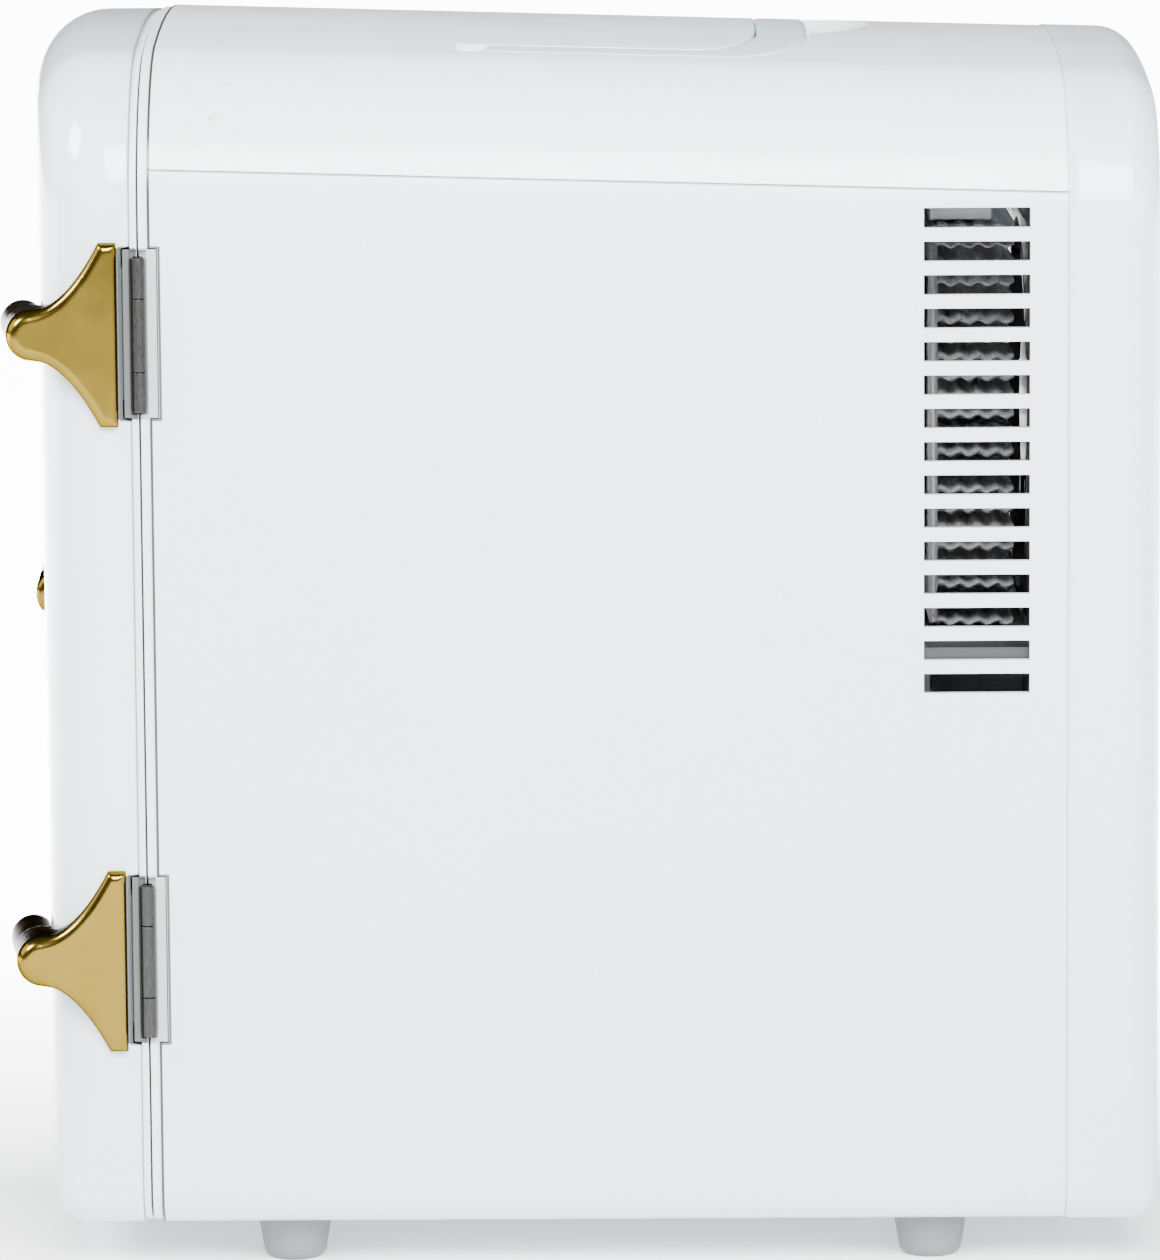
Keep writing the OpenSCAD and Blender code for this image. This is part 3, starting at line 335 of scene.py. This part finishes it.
# ---------------------------------------------------------------- mesh helpers
def make(name, verts, faces, mat, body, nodes, smooth=True, sharp=None):
    me = bpy.data.meshes.new(name)
    me.from_pydata([tuple(v) for v in np.asarray(verts, float) * MM], [], [tuple(int(i) for i in f) for f in faces])
    me.validate()
    me.update()
    o = bpy.data.objects.new(name, me)
    bpy.context.scene.collection.objects.link(o)
    me.materials.append(mat)
    if smooth:
        me.polygons.foreach_set("use_smooth", [True] * len(me.polygons))
        if sharp:
            me.set_sharp_from_angle(angle=math.radians(sharp))
    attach(o, body)
    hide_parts(*nodes)
    return o


def outward(o):
    bm = bmesh.new()
    bm.from_mesh(o.data)
    bmesh.ops.recalc_face_normals(bm, faces=bm.faces)
    bm.to_mesh(o.data)
    bm.free()
    return o


def nets(f, lo, hi, h, steps=4):
    """A closed mesh of f(points) = 0 by surface nets, its points then moved onto the surface itself."""
    ax = [np.arange(lo[i], hi[i] + h, h) for i in range(3)]
    g = np.stack(np.meshgrid(*ax, indexing="ij"), -1)
    v = f(g.reshape(-1, 3)).reshape(g.shape[:3])
    ins = v < 0
    nx, ny, nz = v.shape
    acc = np.zeros((nx - 1, ny - 1, nz - 1, 3))
    cnt = np.zeros((nx - 1, ny - 1, nz - 1))
    for axis in range(3):
        for a in (0, 1):
            for b in (0, 1):
                o1 = [0, 0, 0]
                others = [i for i in range(3) if i != axis]
                o1[others[0]], o1[others[1]] = a, b
                o2 = list(o1)
                o2[axis] = 1
                s1 = tuple(slice(o1[i], o1[i] + n - 1) for i, n in enumerate((nx, ny, nz)))
                s2 = tuple(slice(o2[i], o2[i] + n - 1) for i, n in enumerate((nx, ny, nz)))
                v1, v2 = v[s1], v[s2]
                cross = (v1 < 0) != (v2 < 0)
                t = np.where(cross, v1 / np.where(cross, v1 - v2, 1), 0)
                p = g[s1] + t[..., None] * (g[s2] - g[s1])
                acc += np.where(cross[..., None], p, 0)
                cnt += cross
    act = cnt > 0
    idx = -np.ones(act.shape, int)
    idx[act] = np.arange(act.sum())
    pts = acc[act] / cnt[act][:, None]
    faces = []
    for axis in range(3):
        o = [i for i in range(3) if i != axis]
        s1 = [slice(1, -1)] * 3
        s2 = [slice(1, -1)] * 3
        s1[axis] = slice(0, -1)
        s2[axis] = slice(1, None)
        a, b = ins[tuple(s1)], ins[tuple(s2)]
        cross = np.argwhere(a != b)
        if not len(cross):
            continue
        flip = a[tuple(cross.T)]
        base = cross.copy()
        base[:, o[0]] += 1
        base[:, o[1]] += 1
        quad = []
        for d0, d1 in ((0, 0), (-1, 0), (-1, -1), (0, -1)):
            c = base.copy()
            c[:, o[0]] += d0
            c[:, o[1]] += d1
            quad.append(idx[tuple(c.T)])
        q = np.stack(quad, 1)
        if axis == 1:
            flip = ~flip
        q[~flip] = q[~flip][:, ::-1]
        faces.append(q)
    faces = np.concatenate(faces)
    for k in range(steps):
        e = h * 0.15
        d = f(pts)
        gr = np.stack([(f(pts + e * np.eye(3)[i]) - f(pts - e * np.eye(3)[i])) / (2 * e) for i in range(3)], 1)
        n2 = np.maximum((gr ** 2).sum(1), 0.15)
        move = -gr * (d / n2)[:, None]
        lim = h * 0.5
        ln = np.linalg.norm(move, axis=1)
        move *= np.minimum(1, lim / np.maximum(ln, 1e-9))[:, None]
        pts = pts + move
    return pts, faces[:, ::-1]


def smin(a, b, k):
    h = np.clip(0.5 + 0.5 * (b - a) / k, 0, 1)
    return b * (1 - h) + a * h - k * h * (1 - h)


def smax(a, b, k):
    return -smin(-a, -b, k)


def sd_polygon(px, py, poly):
    """Signed distance from points to a closed 2D polygon, negative inside."""
    poly = np.asarray(poly, float)
    nxt = np.roll(poly, -1, 0)
    d = np.full(px.shape, 1e18)
    inside = np.zeros(px.shape, bool)
    for (ax, ay), (bx, by) in zip(poly, nxt):
        ex, ey = bx - ax, by - ay
        wx, wy = px - ax, py - ay
        t = np.clip((wx * ex + wy * ey) / max(ex * ex + ey * ey, 1e-12), 0, 1)
        d = np.minimum(d, (wx - ex * t) ** 2 + (wy - ey * t) ** 2)
        if abs(by - ay) > 1e-12:
            c = ((ay > py) != (by > py)) & (px < (bx - ax) * (py - ay) / (by - ay) + ax)
            inside ^= c
    d = np.sqrt(d)
    return np.where(inside, -d, d)


def rounded(d2, dz, r):
    """Extruded shape from a plan distance and a height distance, all edges rounded by r."""
    a, b = d2 + r, dz + r
    return np.minimum(np.maximum(a, b), 0) + np.hypot(np.maximum(a, 0), np.maximum(b, 0)) - r


# ---------------------------------------------------------------- door
DCY = DOOR_FRONT + DOOR_R
DCZ = math.sqrt((DOOR_R - DOOR_E) ** 2 - (W2 - DOOR_E) ** 2)
DEY = DCY - DCZ
DEA = math.degrees(math.atan2(W2 - DOOR_E, DCZ))


def door_front(x):
    return DCY - np.sqrt(DOOR_R ** 2 - np.asarray(x, float) ** 2)


def sd_door_plan(x, y):
    ax = np.abs(x)
    vx, vy = ax - (W2 - DOOR_E), y - DEY
    ang = np.degrees(np.arctan2(vy, vx))
    corner = np.hypot(vx, vy) - DOOR_E
    front = np.hypot(ax, y - DCY) - DOOR_R
    side = ax - W2
    return np.where((ang <= 0) & (ang >= -90 + DEA), corner, np.where((ang > 0) & (ang < 135), side, front))


def outline(z_top, n_corner=36, n_crown=28, extra_z=()):
    """Arched outline, points and outward normals, anticlockwise seen from the front with +X first."""
    pts = []
    for a in np.linspace(-90, 0, 13):
        c = np.array([W2 - BASE_R, BASE_Z + BASE_R])
        n = np.array([math.cos(math.radians(a)), math.sin(math.radians(a))])
        pts.append((c + BASE_R * n, n))
    top = z_top + CZ
    zs = sorted(set(list(np.linspace(BASE_Z + BASE_R, top, 40)[1:-1]) + list(extra_z)))
    pts += [(np.array([W2, z]), np.array([1.0, 0.0])) for z in zs]
    for a in np.linspace(0, 90 - math.degrees(CA), n_corner):
        n = np.array([math.cos(math.radians(a)), math.sin(math.radians(a))])
        pts.append((np.array([CX, top]) + CORNER_R * n, n))
    for a in np.linspace(90 - math.degrees(CA), 90, n_crown // 2 + 1)[1:]:
        n = np.array([math.cos(math.radians(a)), math.sin(math.radians(a))])
        pts.append((np.array([0, z_top - CROWN_R]) + CROWN_R * n, n))
    left = [(np.array([-p[0], p[1]]), np.array([-n[0], n[1]])) for p, n in reversed(pts[:-1])]
    pts += left
    k = 24
    bottom = [(np.array([-(W2 - BASE_R) + (2 * (W2 - BASE_R)) * i / k, BASE_Z]), np.array([0.0, -1.0])) for i in range(1, k)]
    pts += bottom
    return np.array([p for p, n in pts]), np.array([n for p, n in pts])


def skin_mesh(P, N, back, front_of, radius_of, rows=10, fil=10, feature=None, spacing=7.0, dense=None, flip=False):
    """Open skin: a wall round the outline, a rounded edge, and a face filled with triangles. Y grows away from the face when flip is False."""
    n = len(P)
    s = -1.0 if flip else 1.0
    r = radius_of(P)
    verts, faces = [], []
    yf = front_of(P[:, 0])
    edge = yf + s * r
    for i in range(rows):
        t = i / rows
        y = back + (edge - back) * t
        verts += [(p[0], yy, p[1]) for p, yy in zip(P, y)]
    for i in range(fil + 1):
        a = math.pi / 2 * i / fil
        q = P - N * (r * (1 - math.cos(a)))[:, None]
        fy = front_of(q[:, 0])
        # the rounded edge blends from the wall's own line to the face
        y = fy + s * r * (1 - math.sin(a))
        verts += [(x, yy, z) for (x, z), yy in zip(q, y)]
    rings = rows + fil + 1
    for i in range(rings - 1):
        for j in range(n):
            k = (j + 1) % n
            faces.append((i * n + j, i * n + k, (i + 1) * n + k, (i + 1) * n + j))
    ring = [(verts[(rings - 1) * n + j][0], verts[(rings - 1) * n + j][2]) for j in range(n)]
    poly = np.array(ring)
    lo, hi = poly.min(0), poly.max(0)
    grid = [(x, z) for x in np.arange(lo[0], hi[0], spacing) for z in np.arange(lo[1], hi[1], spacing)]
    if dense:
        (x0, z0, x1, z1), st = dense
        grid = [p for p in grid if not (x0 < p[0] < x1 and z0 < p[1] < z1)]
        grid += [(x, z) for x in np.arange(x0, x1 + st, st) for z in np.arange(z0, z1 + st, st)]
    G = np.array(grid)
    d = sd_polygon(G[:, 0], G[:, 1], poly)
    G = G[d < -1.4]
    loops = feature["loops"] if feature else []
    allp = [Vector(p) for p in ring] + [Vector(p) for p in G]
    edges = [(j, (j + 1) % n) for j in range(n)]
    for loop in loops:
        L = np.array(loop)
        keep = []
        b0 = len(allp)
        allp += [Vector(p) for p in loop]
        edges += [(b0 + j, b0 + (j + 1) % len(loop)) for j in range(len(loop))]
    if loops:
        # drop grid points that lie in or near a loop
        bad = set()
        for k, p in enumerate(G):
            for loop in loops:
                L = np.array(loop)
                if (p > L.min(0) - 0.8).all() and (p < L.max(0) + 0.8).all():
                    bad.add(n + k)
                    break
        order = [i for i in range(len(allp)) if i not in bad]
        new = {o: k for k, o in enumerate(order)}
        allp = [allp[i] for i in order]
        edges = [(new[a], new[b]) for a, b in edges]
    res = delaunay_2d_cdt(allp, edges, [], 0, 1e-6)
    out_pts, out_edges, tris, orig = res[0], res[1], res[2], res[3]
    tri = np.array([t for t in tris if len(t) == 3])
    V2 = np.array([tuple(p) for p in out_pts])
    cen = V2[tri].mean(1)
    ok = sd_polygon(cen[:, 0], cen[:, 1], poly) < 0
    for loop in loops:
        ok &= sd_polygon(cen[:, 0], cen[:, 1], np.array(loop)) > 0
    tri = tri[ok]
    index = {}
    base = len(verts)
    for k, (p, o) in enumerate(zip(V2, orig)):
        hit = [i for i in o if i < n]
        if hit:
            index[k] = (rings - 1) * n + hit[0]
        else:
            index[k] = len(verts)
            verts.append((p[0], float(front_of(np.array([p[0]]))[0]), p[1]))
    for a, b, c in tri:
        faces.append((index[a], index[b], index[c]))
    return np.array(verts, float), faces, base


def sheet_object(name, verts, faces, mat, body, nodes, thick, inward_point, sharp=30, bevel=None, even=True):
    o = make(name, verts, faces, mat, body, nodes, True, sharp)
    outward(o)
    # solidify grows towards the inside
    me = o.data
    c = Vector(inward_point) * MM
    vote = sum((p.center - c).dot(p.normal) * p.area for p in me.polygons)
    if vote < 0:
        me.flip_normals()
    s = o.modifiers.new("wall", "SOLIDIFY")
    s.thickness = thick * MM
    s.offset = -1.0
    s.use_even_offset = even
    s.thickness_clamp = 0.9
    s.use_rim = True
    if bevel:
        bv = o.modifiers.new("edges", "BEVEL")
        bv.width = bevel * MM
        bv.segments = 2
        bv.limit_method = "ANGLE"
        bv.angle_limit = math.radians(45)
        bv.harden_normals = True
    me.polygons.foreach_set("use_smooth", [True] * len(me.polygons))
    wn = o.modifiers.new("normals", "WEIGHTED_NORMAL")
    wn.keep_sharp = True
    return o


extra = []
for z in HINGE_Z:
    extra += [z - 19.5, z - 19.1, z + 19.6, z + 20.0]
P, N = outline(DOOR_TOP, extra_z=extra)
back = np.full(len(P), DOOR_Y)
for z in HINGE_Z:
    hit = (P[:, 0] > W2 - 0.1) & (P[:, 1] > z - 19.12) & (P[:, 1] < z + 19.62)
    back[hit] = DOOR_Y - 2.0


def door_radius(P):
    t = np.clip((P[:, 1] - 20.0) / 32.0, 0, 1)
    t = t * t * (3 - 2 * t)
    return 6.5 + (DOOR_E - 6.5) * t


verts, faces, base = skin_mesh(P, N, back, door_front, door_radius, rows=6, fil=12, spacing=6.0,
                               dense=((-70.0, PULL_Z - 20, -6.0, PULL_Z + 20), 1.5))
# finger recess behind the pull handle
x, z = verts[base:, 0], verts[base:, 2]
u = np.abs((x + 38.0) / 29.5)
v = np.abs((z - PULL_Z) / 17.5)
q = (u ** 4 + v ** 4) ** 0.25
t = np.clip((1.0 - q) / 0.36, 0, 1)
verts[base:, 1] += 8.5 * t * t * (3 - 2 * t)
sheet_object("door_shell_skin", verts, faces, M["white_door"], "door", ["door_shell"], 2.2, (0, -90, 140), even=False)

# ---------------------------------------------------------------- rear cover
P, N = outline(CROWN - math.tan(TILT) * (BACK_Y - FRONT_Y))
drop_per_mm = math.tan(TILT)
P = P + N * 0.25


def rear_face(x):
    return np.full(np.shape(x), REAR_Y)


def rear_radius(P):
    t = np.clip((P[:, 1] - 20.0) / 25.0, 0, 1)
    return 6.0 + 2.0 * t


loops = []
for i in range(-6, 7):
    zc = UNIT_Z + i * 6.8
    for side in (-1, 1):
        zz = abs(zc - UNIT_Z)
        x1 = math.sqrt(max(43 ** 2 - (zz + 2.1) ** 2, 1))
        if x1 < 8:
            continue
        x0 = 1.6 if zz > 10.5 else math.sqrt(max(12.2 ** 2 - max(zz - 2.1, 0) ** 2, 1.6 ** 2))
        x0 = max(x0, 1.6)
        pts = []
        rr = 1.9
        for cx_, cz_, a0 in ((x1 - rr, zc + 2.1 - rr, 0), (x0 + rr, zc + 2.1 - rr, 90), (x0 + rr, zc - 2.1 + rr, 180), (x1 - rr, zc - 2.1 + rr, 270)):
            for k in range(5):
                a = math.radians(a0 + 22.5 * k)
                pts.append((side * (cx_ + rr * math.cos(a)), cz_ + rr * math.sin(a)))
        loops.append(pts if side > 0 else pts[::-1])


def circle(cx_, cz_, r, n=24):
    return [(cx_ + r * math.cos(2 * math.pi * k / n), cz_ + r * math.sin(2 * math.pi * k / n)) for k in range(n)]


screw_holes = [(-81, 24.5), (81, 24.5), (-50, 260.5), (50, 260.5)]
fan_holes = [(sx * 41.216, UNIT_Z + sz * 41.216) for sx in (-1, 1) for sz in (-1, 1)]
for c in screw_holes:
    loops.append(circle(*c, 3.5))
for c in fan_holes:
    loops.append(circle(*c, 3.4))


def rrect(x0, z0, x1, z1, r, n=6):
    pts = []
    for cx_, cz_, a0 in ((x1 - r, z1 - r, 0), (x0 + r, z1 - r, 90), (x0 + r, z0 + r, 180), (x1 - r, z0 + r, 270)):
        for k in range(n + 1):
            a = math.radians(a0 + 90 * k / n)
            pts.append((cx_ + r * math.cos(a), cz_ + r * math.sin(a)))
    return pts


socket = rrect(-62, 44, 62, 82, 3.0)
loops.append(socket)
verts, faces, base = skin_mesh(P, N, np.full(len(P), BACK_Y + 0.05), rear_face, rear_radius, rows=4, fil=10, feature={"loops": loops}, spacing=8.0, flip=True)
verts = list(map(tuple, verts))
# counterbores, screw tubes and the sunk socket panel
where = {}
for k in range(base, len(verts)):
    where[(round(verts[k][0], 3), round(verts[k][2], 3))] = k


def wall_ring(loop, y1, floor_hole=None):
    ids = [where[(round(p[0], 3), round(p[1], 3))] for p in loop]
    b0 = len(verts)
    verts.extend((p[0], y1, p[1]) for p in loop)
    n = len(loop)
    for j in range(n):
        k = (j + 1) % n
        faces.append((ids[j], ids[k], b0 + k, b0 + j))
    if floor_hole:
        c = np.mean(loop, 0)
        b1 = len(verts)
        verts.extend((c[0] + (p[0] - c[0]) * floor_hole, y1, c[1] + (p[1] - c[1]) * floor_hole) for p in loop)
        for j in range(n):
            k = (j + 1) % n
            faces.append((b0 + j, b0 + k, b1 + k, b1 + j))
    return b0


for c in screw_holes:
    wall_ring(circle(*c, 3.5), BACK_Y + 4.0, 1.8 / 3.5)
for c in fan_holes:
    wall_ring(circle(*c, 3.4), REAR_Y - 1.6, 1.9 / 3.4)
b0 = wall_ring(socket, REAR_Y - 4.2)
holes = [rrect(-50.2, 55.8, -25.8, 70.2, 1.0), circle(2, 63, 6.2, 32), rrect(32.8, 51.8, 47.2, 74.2, 1.0)]
pts2 = [Vector(p) for p in socket]
ed = [(j, (j + 1) % len(socket)) for j in range(len(socket))]
for h_ in holes:
    k0 = len(pts2)
    pts2 += [Vector(p) for p in h_]
    ed += [(k0 + j, k0 + (j + 1) % len(h_)) for j in range(len(h_))]
res = delaunay_2d_cdt(pts2, ed, [], 0, 1e-6)
V2 = np.array([tuple(p) for p in res[0]])
k1 = len(verts)
ids = []
for p, o_ in zip(V2, res[3]):
    hit = [i for i in o_ if i < len(socket)]
    if hit:
        ids.append(b0 + hit[0])
    else:
        ids.append(len(verts))
        verts.append((p[0], REAR_Y - 4.2, p[1]))
for t_ in res[2]:
    c = V2[list(t_)].mean(0)
    if sd_polygon(np.array([c[0]]), np.array([c[1]]), socket)[0] < 0 and all(sd_polygon(np.array([c[0]]), np.array([c[1]]), h_)[0] > 0 for h_ in holes):
        faces.append(tuple(ids[i] for i in t_))
verts = np.array(verts)
# the crown falls towards the back
high = verts[:, 2] > 120
verts[:, 2] -= np.where(verts[:, 1] > BACK_Y, (verts[:, 1] - BACK_Y) * drop_per_mm, 0) * np.clip((verts[:, 2] - 236) / 12.0, 0, 1)
sheet_object("rear_cover_skin", verts, faces, M["white"], "cabinet", ["rear_cover"], 2.0, (0, 100, 140), sharp=40)

# ---------------------------------------------------------------- gold hinge covers
NOSE, CH, CT = 5.2, 41.6, 3.0


def bell(u):
    v = max(0.0, min(1.0, (u - 4.2) / 16.5))
    return NOSE + (CH / 2 - NOSE) * (1 - v) ** 2


bell_poly = [(-102.7, CH / 2)] + [(-102.7 - u, bell(u)) for u in np.linspace(4.2, 18.9, 16)]
bell_poly += [(-122.1 + NOSE * math.cos(math.radians(a)), NOSE * math.sin(math.radians(a))) for a in np.linspace(92, 268, 20)]
bell_poly += [(y, -z) for y, z in reversed(bell_poly[:17])]
bar_dir = np.array([-math.cos(math.radians(8)), -math.sin(math.radians(8)), 0])


def sd_cover(p):
    x, y, z = p[:, 0], p[:, 1], p[:, 2]
    d2 = sd_polygon(y, z, bell_poly)
    dx = np.abs(x - (W2 + CT - 9.0)) - 9.0
    plate = rounded(d2, dx, 2.0)
    a = np.array([W2 + CT + 2.0, -121.7, 0.0])
    q = p - a
    t = np.clip(q @ bar_dir, 0.0, 36.0)
    bar = np.linalg.norm(q - t[:, None] * bar_dir, axis=1) - 5.15
    bar = smax(bar, x - (W2 + CT - 2.6), 1.2)
    d = smin(plate, bar, 2.4)
    d = smax(d, -(sd_door_plan(x, y) - 0.05), 0.5)
    d = smax(d, y + 102.7, 0.5)
    return d


HQ = 0.42
cover_v, cover_f = nets(sd_cover, (55.5, -133.5, -22.3), (98.5, -101.3, 22.3), HQ)
for nm, zc in (("lower_hinge_cover", COVER_Z[0]), ("upper_hinge_cover", COVER_Z[1])):
    vv = cover_v.copy()
    vv[:, 2] += zc
    outward(make(nm + "_plated", vv, cover_f, M["gold"], "door", [nm]))

# ---------------------------------------------------------------- pull handle
TA = math.radians(2.6)
pull_dir = np.array([-math.cos(TA), -math.sin(TA)])
pull_o = np.array([-2.6, 0.0]) + np.array([-math.sin(TA), math.cos(TA)]) * (DOOR_FRONT + 1.75)


def sd_pull(p):
    x, y, z = p[:, 0], p[:, 1], p[:, 2]
    qx, qy = x - pull_o[0], y - pull_o[1]
    t = qx * pull_dir[0] + qy * pull_dir[1]
    n = -(qx * pull_dir[1] - qy * pull_dir[0])   # distance in front of the bar's axis line
    n = qx * math.sin(TA) * 1.0 - qy * math.cos(TA)
    # axis line runs along pull_dir; outward is towards -Y
    rad = np.hypot(n, z) - 6.1
    ends = np.abs(t - 41.0) - 41.0
    bar = rounded(rad, ends, 2.6)
    bar = smax(bar, -(n - 1.95), 1.2)
    d = bar
    for px_ in (-3.5, -73.0):
        post = rounded(np.hypot(x - px_, z) - 4.6, np.abs(y + 124.0) - 6.0, 0.6)
        post = smax(post, n - 5.0, 0.4)
        d = smin(d, post, 1.4)
    d = smax(d, -(sd_door_plan(x, y) - 0.05), 0.4)
    return d


pv, pf = nets(sd_pull, (-82.0, -135.5, -7.5), (5.5, -118.0, 7.5), HQ)
pv[:, 2] += PULL_Z
outward(make("pull_handle_plated", pv, pf, M["gold"], "door", ["pull_handle"]))

# ---------------------------------------------------------------- carry handle
BW, BA, BT = 62.0, 7.5, 7.0
PIV_Y = -20.5
PIV_Z = crown(PIV_Y) - (CROWN_R - math.sqrt(CROWN_R ** 2 - BW ** 2)) - 5.0
qa = np.radians(np.linspace(0, 90, 14))
outer = [(BW, -25.5), (BW, 35)] + [(30 + (BW - 30) * math.cos(a), 35 + 19.2 * math.sin(a)) for a in qa]
inner = [(BW - BA, -25.5), (BW - BA, 27)] + [(25 + (BW - BA - 25) * math.cos(a), 27 + 15.3 * math.sin(a)) for a in qa]
half = outer + inner[::-1]
bail_poly = outer + [(-x_, y_) for x_, y_ in reversed(outer)] + [(-x_, y_) for x_, y_ in inner] + inner[::-1]


def sd_arch(x, z):
    """Distance to the arched outline, crown at z = 0."""
    ax = np.abs(x)
    vx, vz = ax - CX, z - CZ
    ang = np.arctan2(vz, vx)
    corner = np.hypot(vx, vz) - CORNER_R
    top = np.hypot(ax, z + CROWN_R) - CROWN_R
    side = ax - W2
    return np.where(ang < 0, side, np.where(ang < math.pi / 2 - CA, corner, top))


ct, st = math.cos(TILT), math.sin(TILT)


def sd_bail(p):
    x, y, z = p[:, 0], p[:, 1], p[:, 2]
    # into the crown's own tilted frame
    yy, zz = y - FRONT_Y, z - CROWN
    zt = yy * st + zz * ct
    da = sd_arch(x, zt)
    d2 = sd_polygon(x, y, bail_poly)
    slab = np.abs(da + BT / 2) - BT / 2
    body = rounded(np.maximum(d2, PIV_Y - y), slab, 1.3)
    tip = rounded(np.maximum(np.abs(np.abs(x) - (BW - BA / 2)) - BA / 2, -9), np.hypot(y - PIV_Y, z - PIV_Z) - 5.0, 1.0)
    tip = smax(tip, da, 1.0)
    stub = np.maximum(np.hypot(y - PIV_Y, z - PIV_Z) - 2.5, np.abs(np.abs(x) - (BW - BA / 2) - 0.15) - BA / 2 - 1.75)
    d = smin(smin(body, tip, 0.8), stub, 0.2)
    relief = np.hypot(y - 57.5, z - (crown(54) - 9.5)) - 6.5
    return smax(d, -np.maximum(relief, np.abs(x) - 26), 1.0)


bv_, bf_ = nets(sd_bail, (-66.5, -27.5, 264.5), (66.5, 56.0, 284.0), 0.7)
outward(make("carry_handle_moulded", bv_, bf_, M["white"], "carry_handle", ["carry_handle"]))

# ---------------------------------------------------------------- stage, light, camera
bm = bmesh.new()
bmesh.ops.create_grid(bm, x_segments=2, y_segments=2, size=12.0)
me = bpy.data.meshes.new("floor")
bm.to_mesh(me)
bm.free()
floor = bpy.data.objects.new("floor", me)
bpy.context.scene.collection.objects.link(floor)
fm = bpy.data.materials.new("floor_paper")
nt, b = nodes_of(fm)
b.inputs["Base Color"].default_value = (0.9, 0.9, 0.9, 1)
b.inputs["Emission Color"].default_value = (1, 1, 1, 1)
t = nt.nodes.new("ShaderNodeTexCoord")
sx = nt.nodes.new("ShaderNodeSeparateXYZ")
nt.links.new(t.outputs["Object"], sx.inputs[0])
nt.links.new(mapr(nt, sx.outputs[0], 0.0, -0.38, 0.5, 13.0), b.inputs["Emission Strength"])
b.inputs["Roughness"].default_value = 0.9
b.inputs["Specular IOR Level"].default_value = 0.1
me.materials.append(fm)

world = bpy.data.worlds.new("studio")
bpy.context.scene.world = world
world.use_nodes = True
bg = world.node_tree.nodes["Background"]
bg.inputs[0].default_value = (1, 1, 1, 1)
bg.inputs[1].default_value = 0.14


def area(name, pos, aim, size, power, col=(1, 1, 1)):
    l = bpy.data.lights.new(name, "AREA")
    l.shape = "RECTANGLE"
    l.size, l.size_y = size
    l.energy = power
    l.color = col
    o = bpy.data.objects.new(name, l)
    bpy.context.scene.collection.objects.link(o)
    o.location = pos
    d = Vector(aim) - Vector(pos)
    o.rotation_euler = d.to_track_quat("-Z", "Y").to_euler()
    return o


area("key", (1.5, 0.2, 1.2), (0, 0, 0.15), (1.1, 0.8), 118)
area("key_left", (0.62, -1.47, 1.32), (0.05, -0.1, 0.2), (0.6, 0.6), 62)
area("fill_right", (1.2, 1.5, 0.8), (0, 0, 0.15), (0.9, 0.9), 22)
area("front", (-0.2, -1.8, 0.9), (0, -0.1, 0.15), (1.0, 1.0), 11)

cam = bpy.data.cameras.new("camera")
cam.sensor_fit = "AUTO"
cam.sensor_width = 36.0
cam.lens = 7121.345 / 1260 * 36.0
cam.clip_start, cam.clip_end = 0.05, 60
co = bpy.data.objects.new("camera", cam)
bpy.context.scene.collection.objects.link(co)
th, ro, ya = 0.1418, -0.0070, -0.0089
d = np.array([-math.cos(th) * math.cos(ya), math.cos(th) * math.sin(ya), -math.sin(th)])
r = np.cross(d, [0, 0, 1.0]); r /= np.linalg.norm(r)
u = np.cross(r, d)
r2 = r * math.cos(ro) + u * math.sin(ro)
u2 = -r * math.sin(ro) + u * math.cos(ro)
m = Matrix(((r2[0], u2[0], -d[0], 1.689), (r2[1], u2[1], -d[1], 0.015011), (r2[2], u2[2], -d[2], 0.376011), (0, 0, 0, 1)))
co.matrix_world = m
bpy.context.scene.camera = co

bpy.context.view_layer.update()
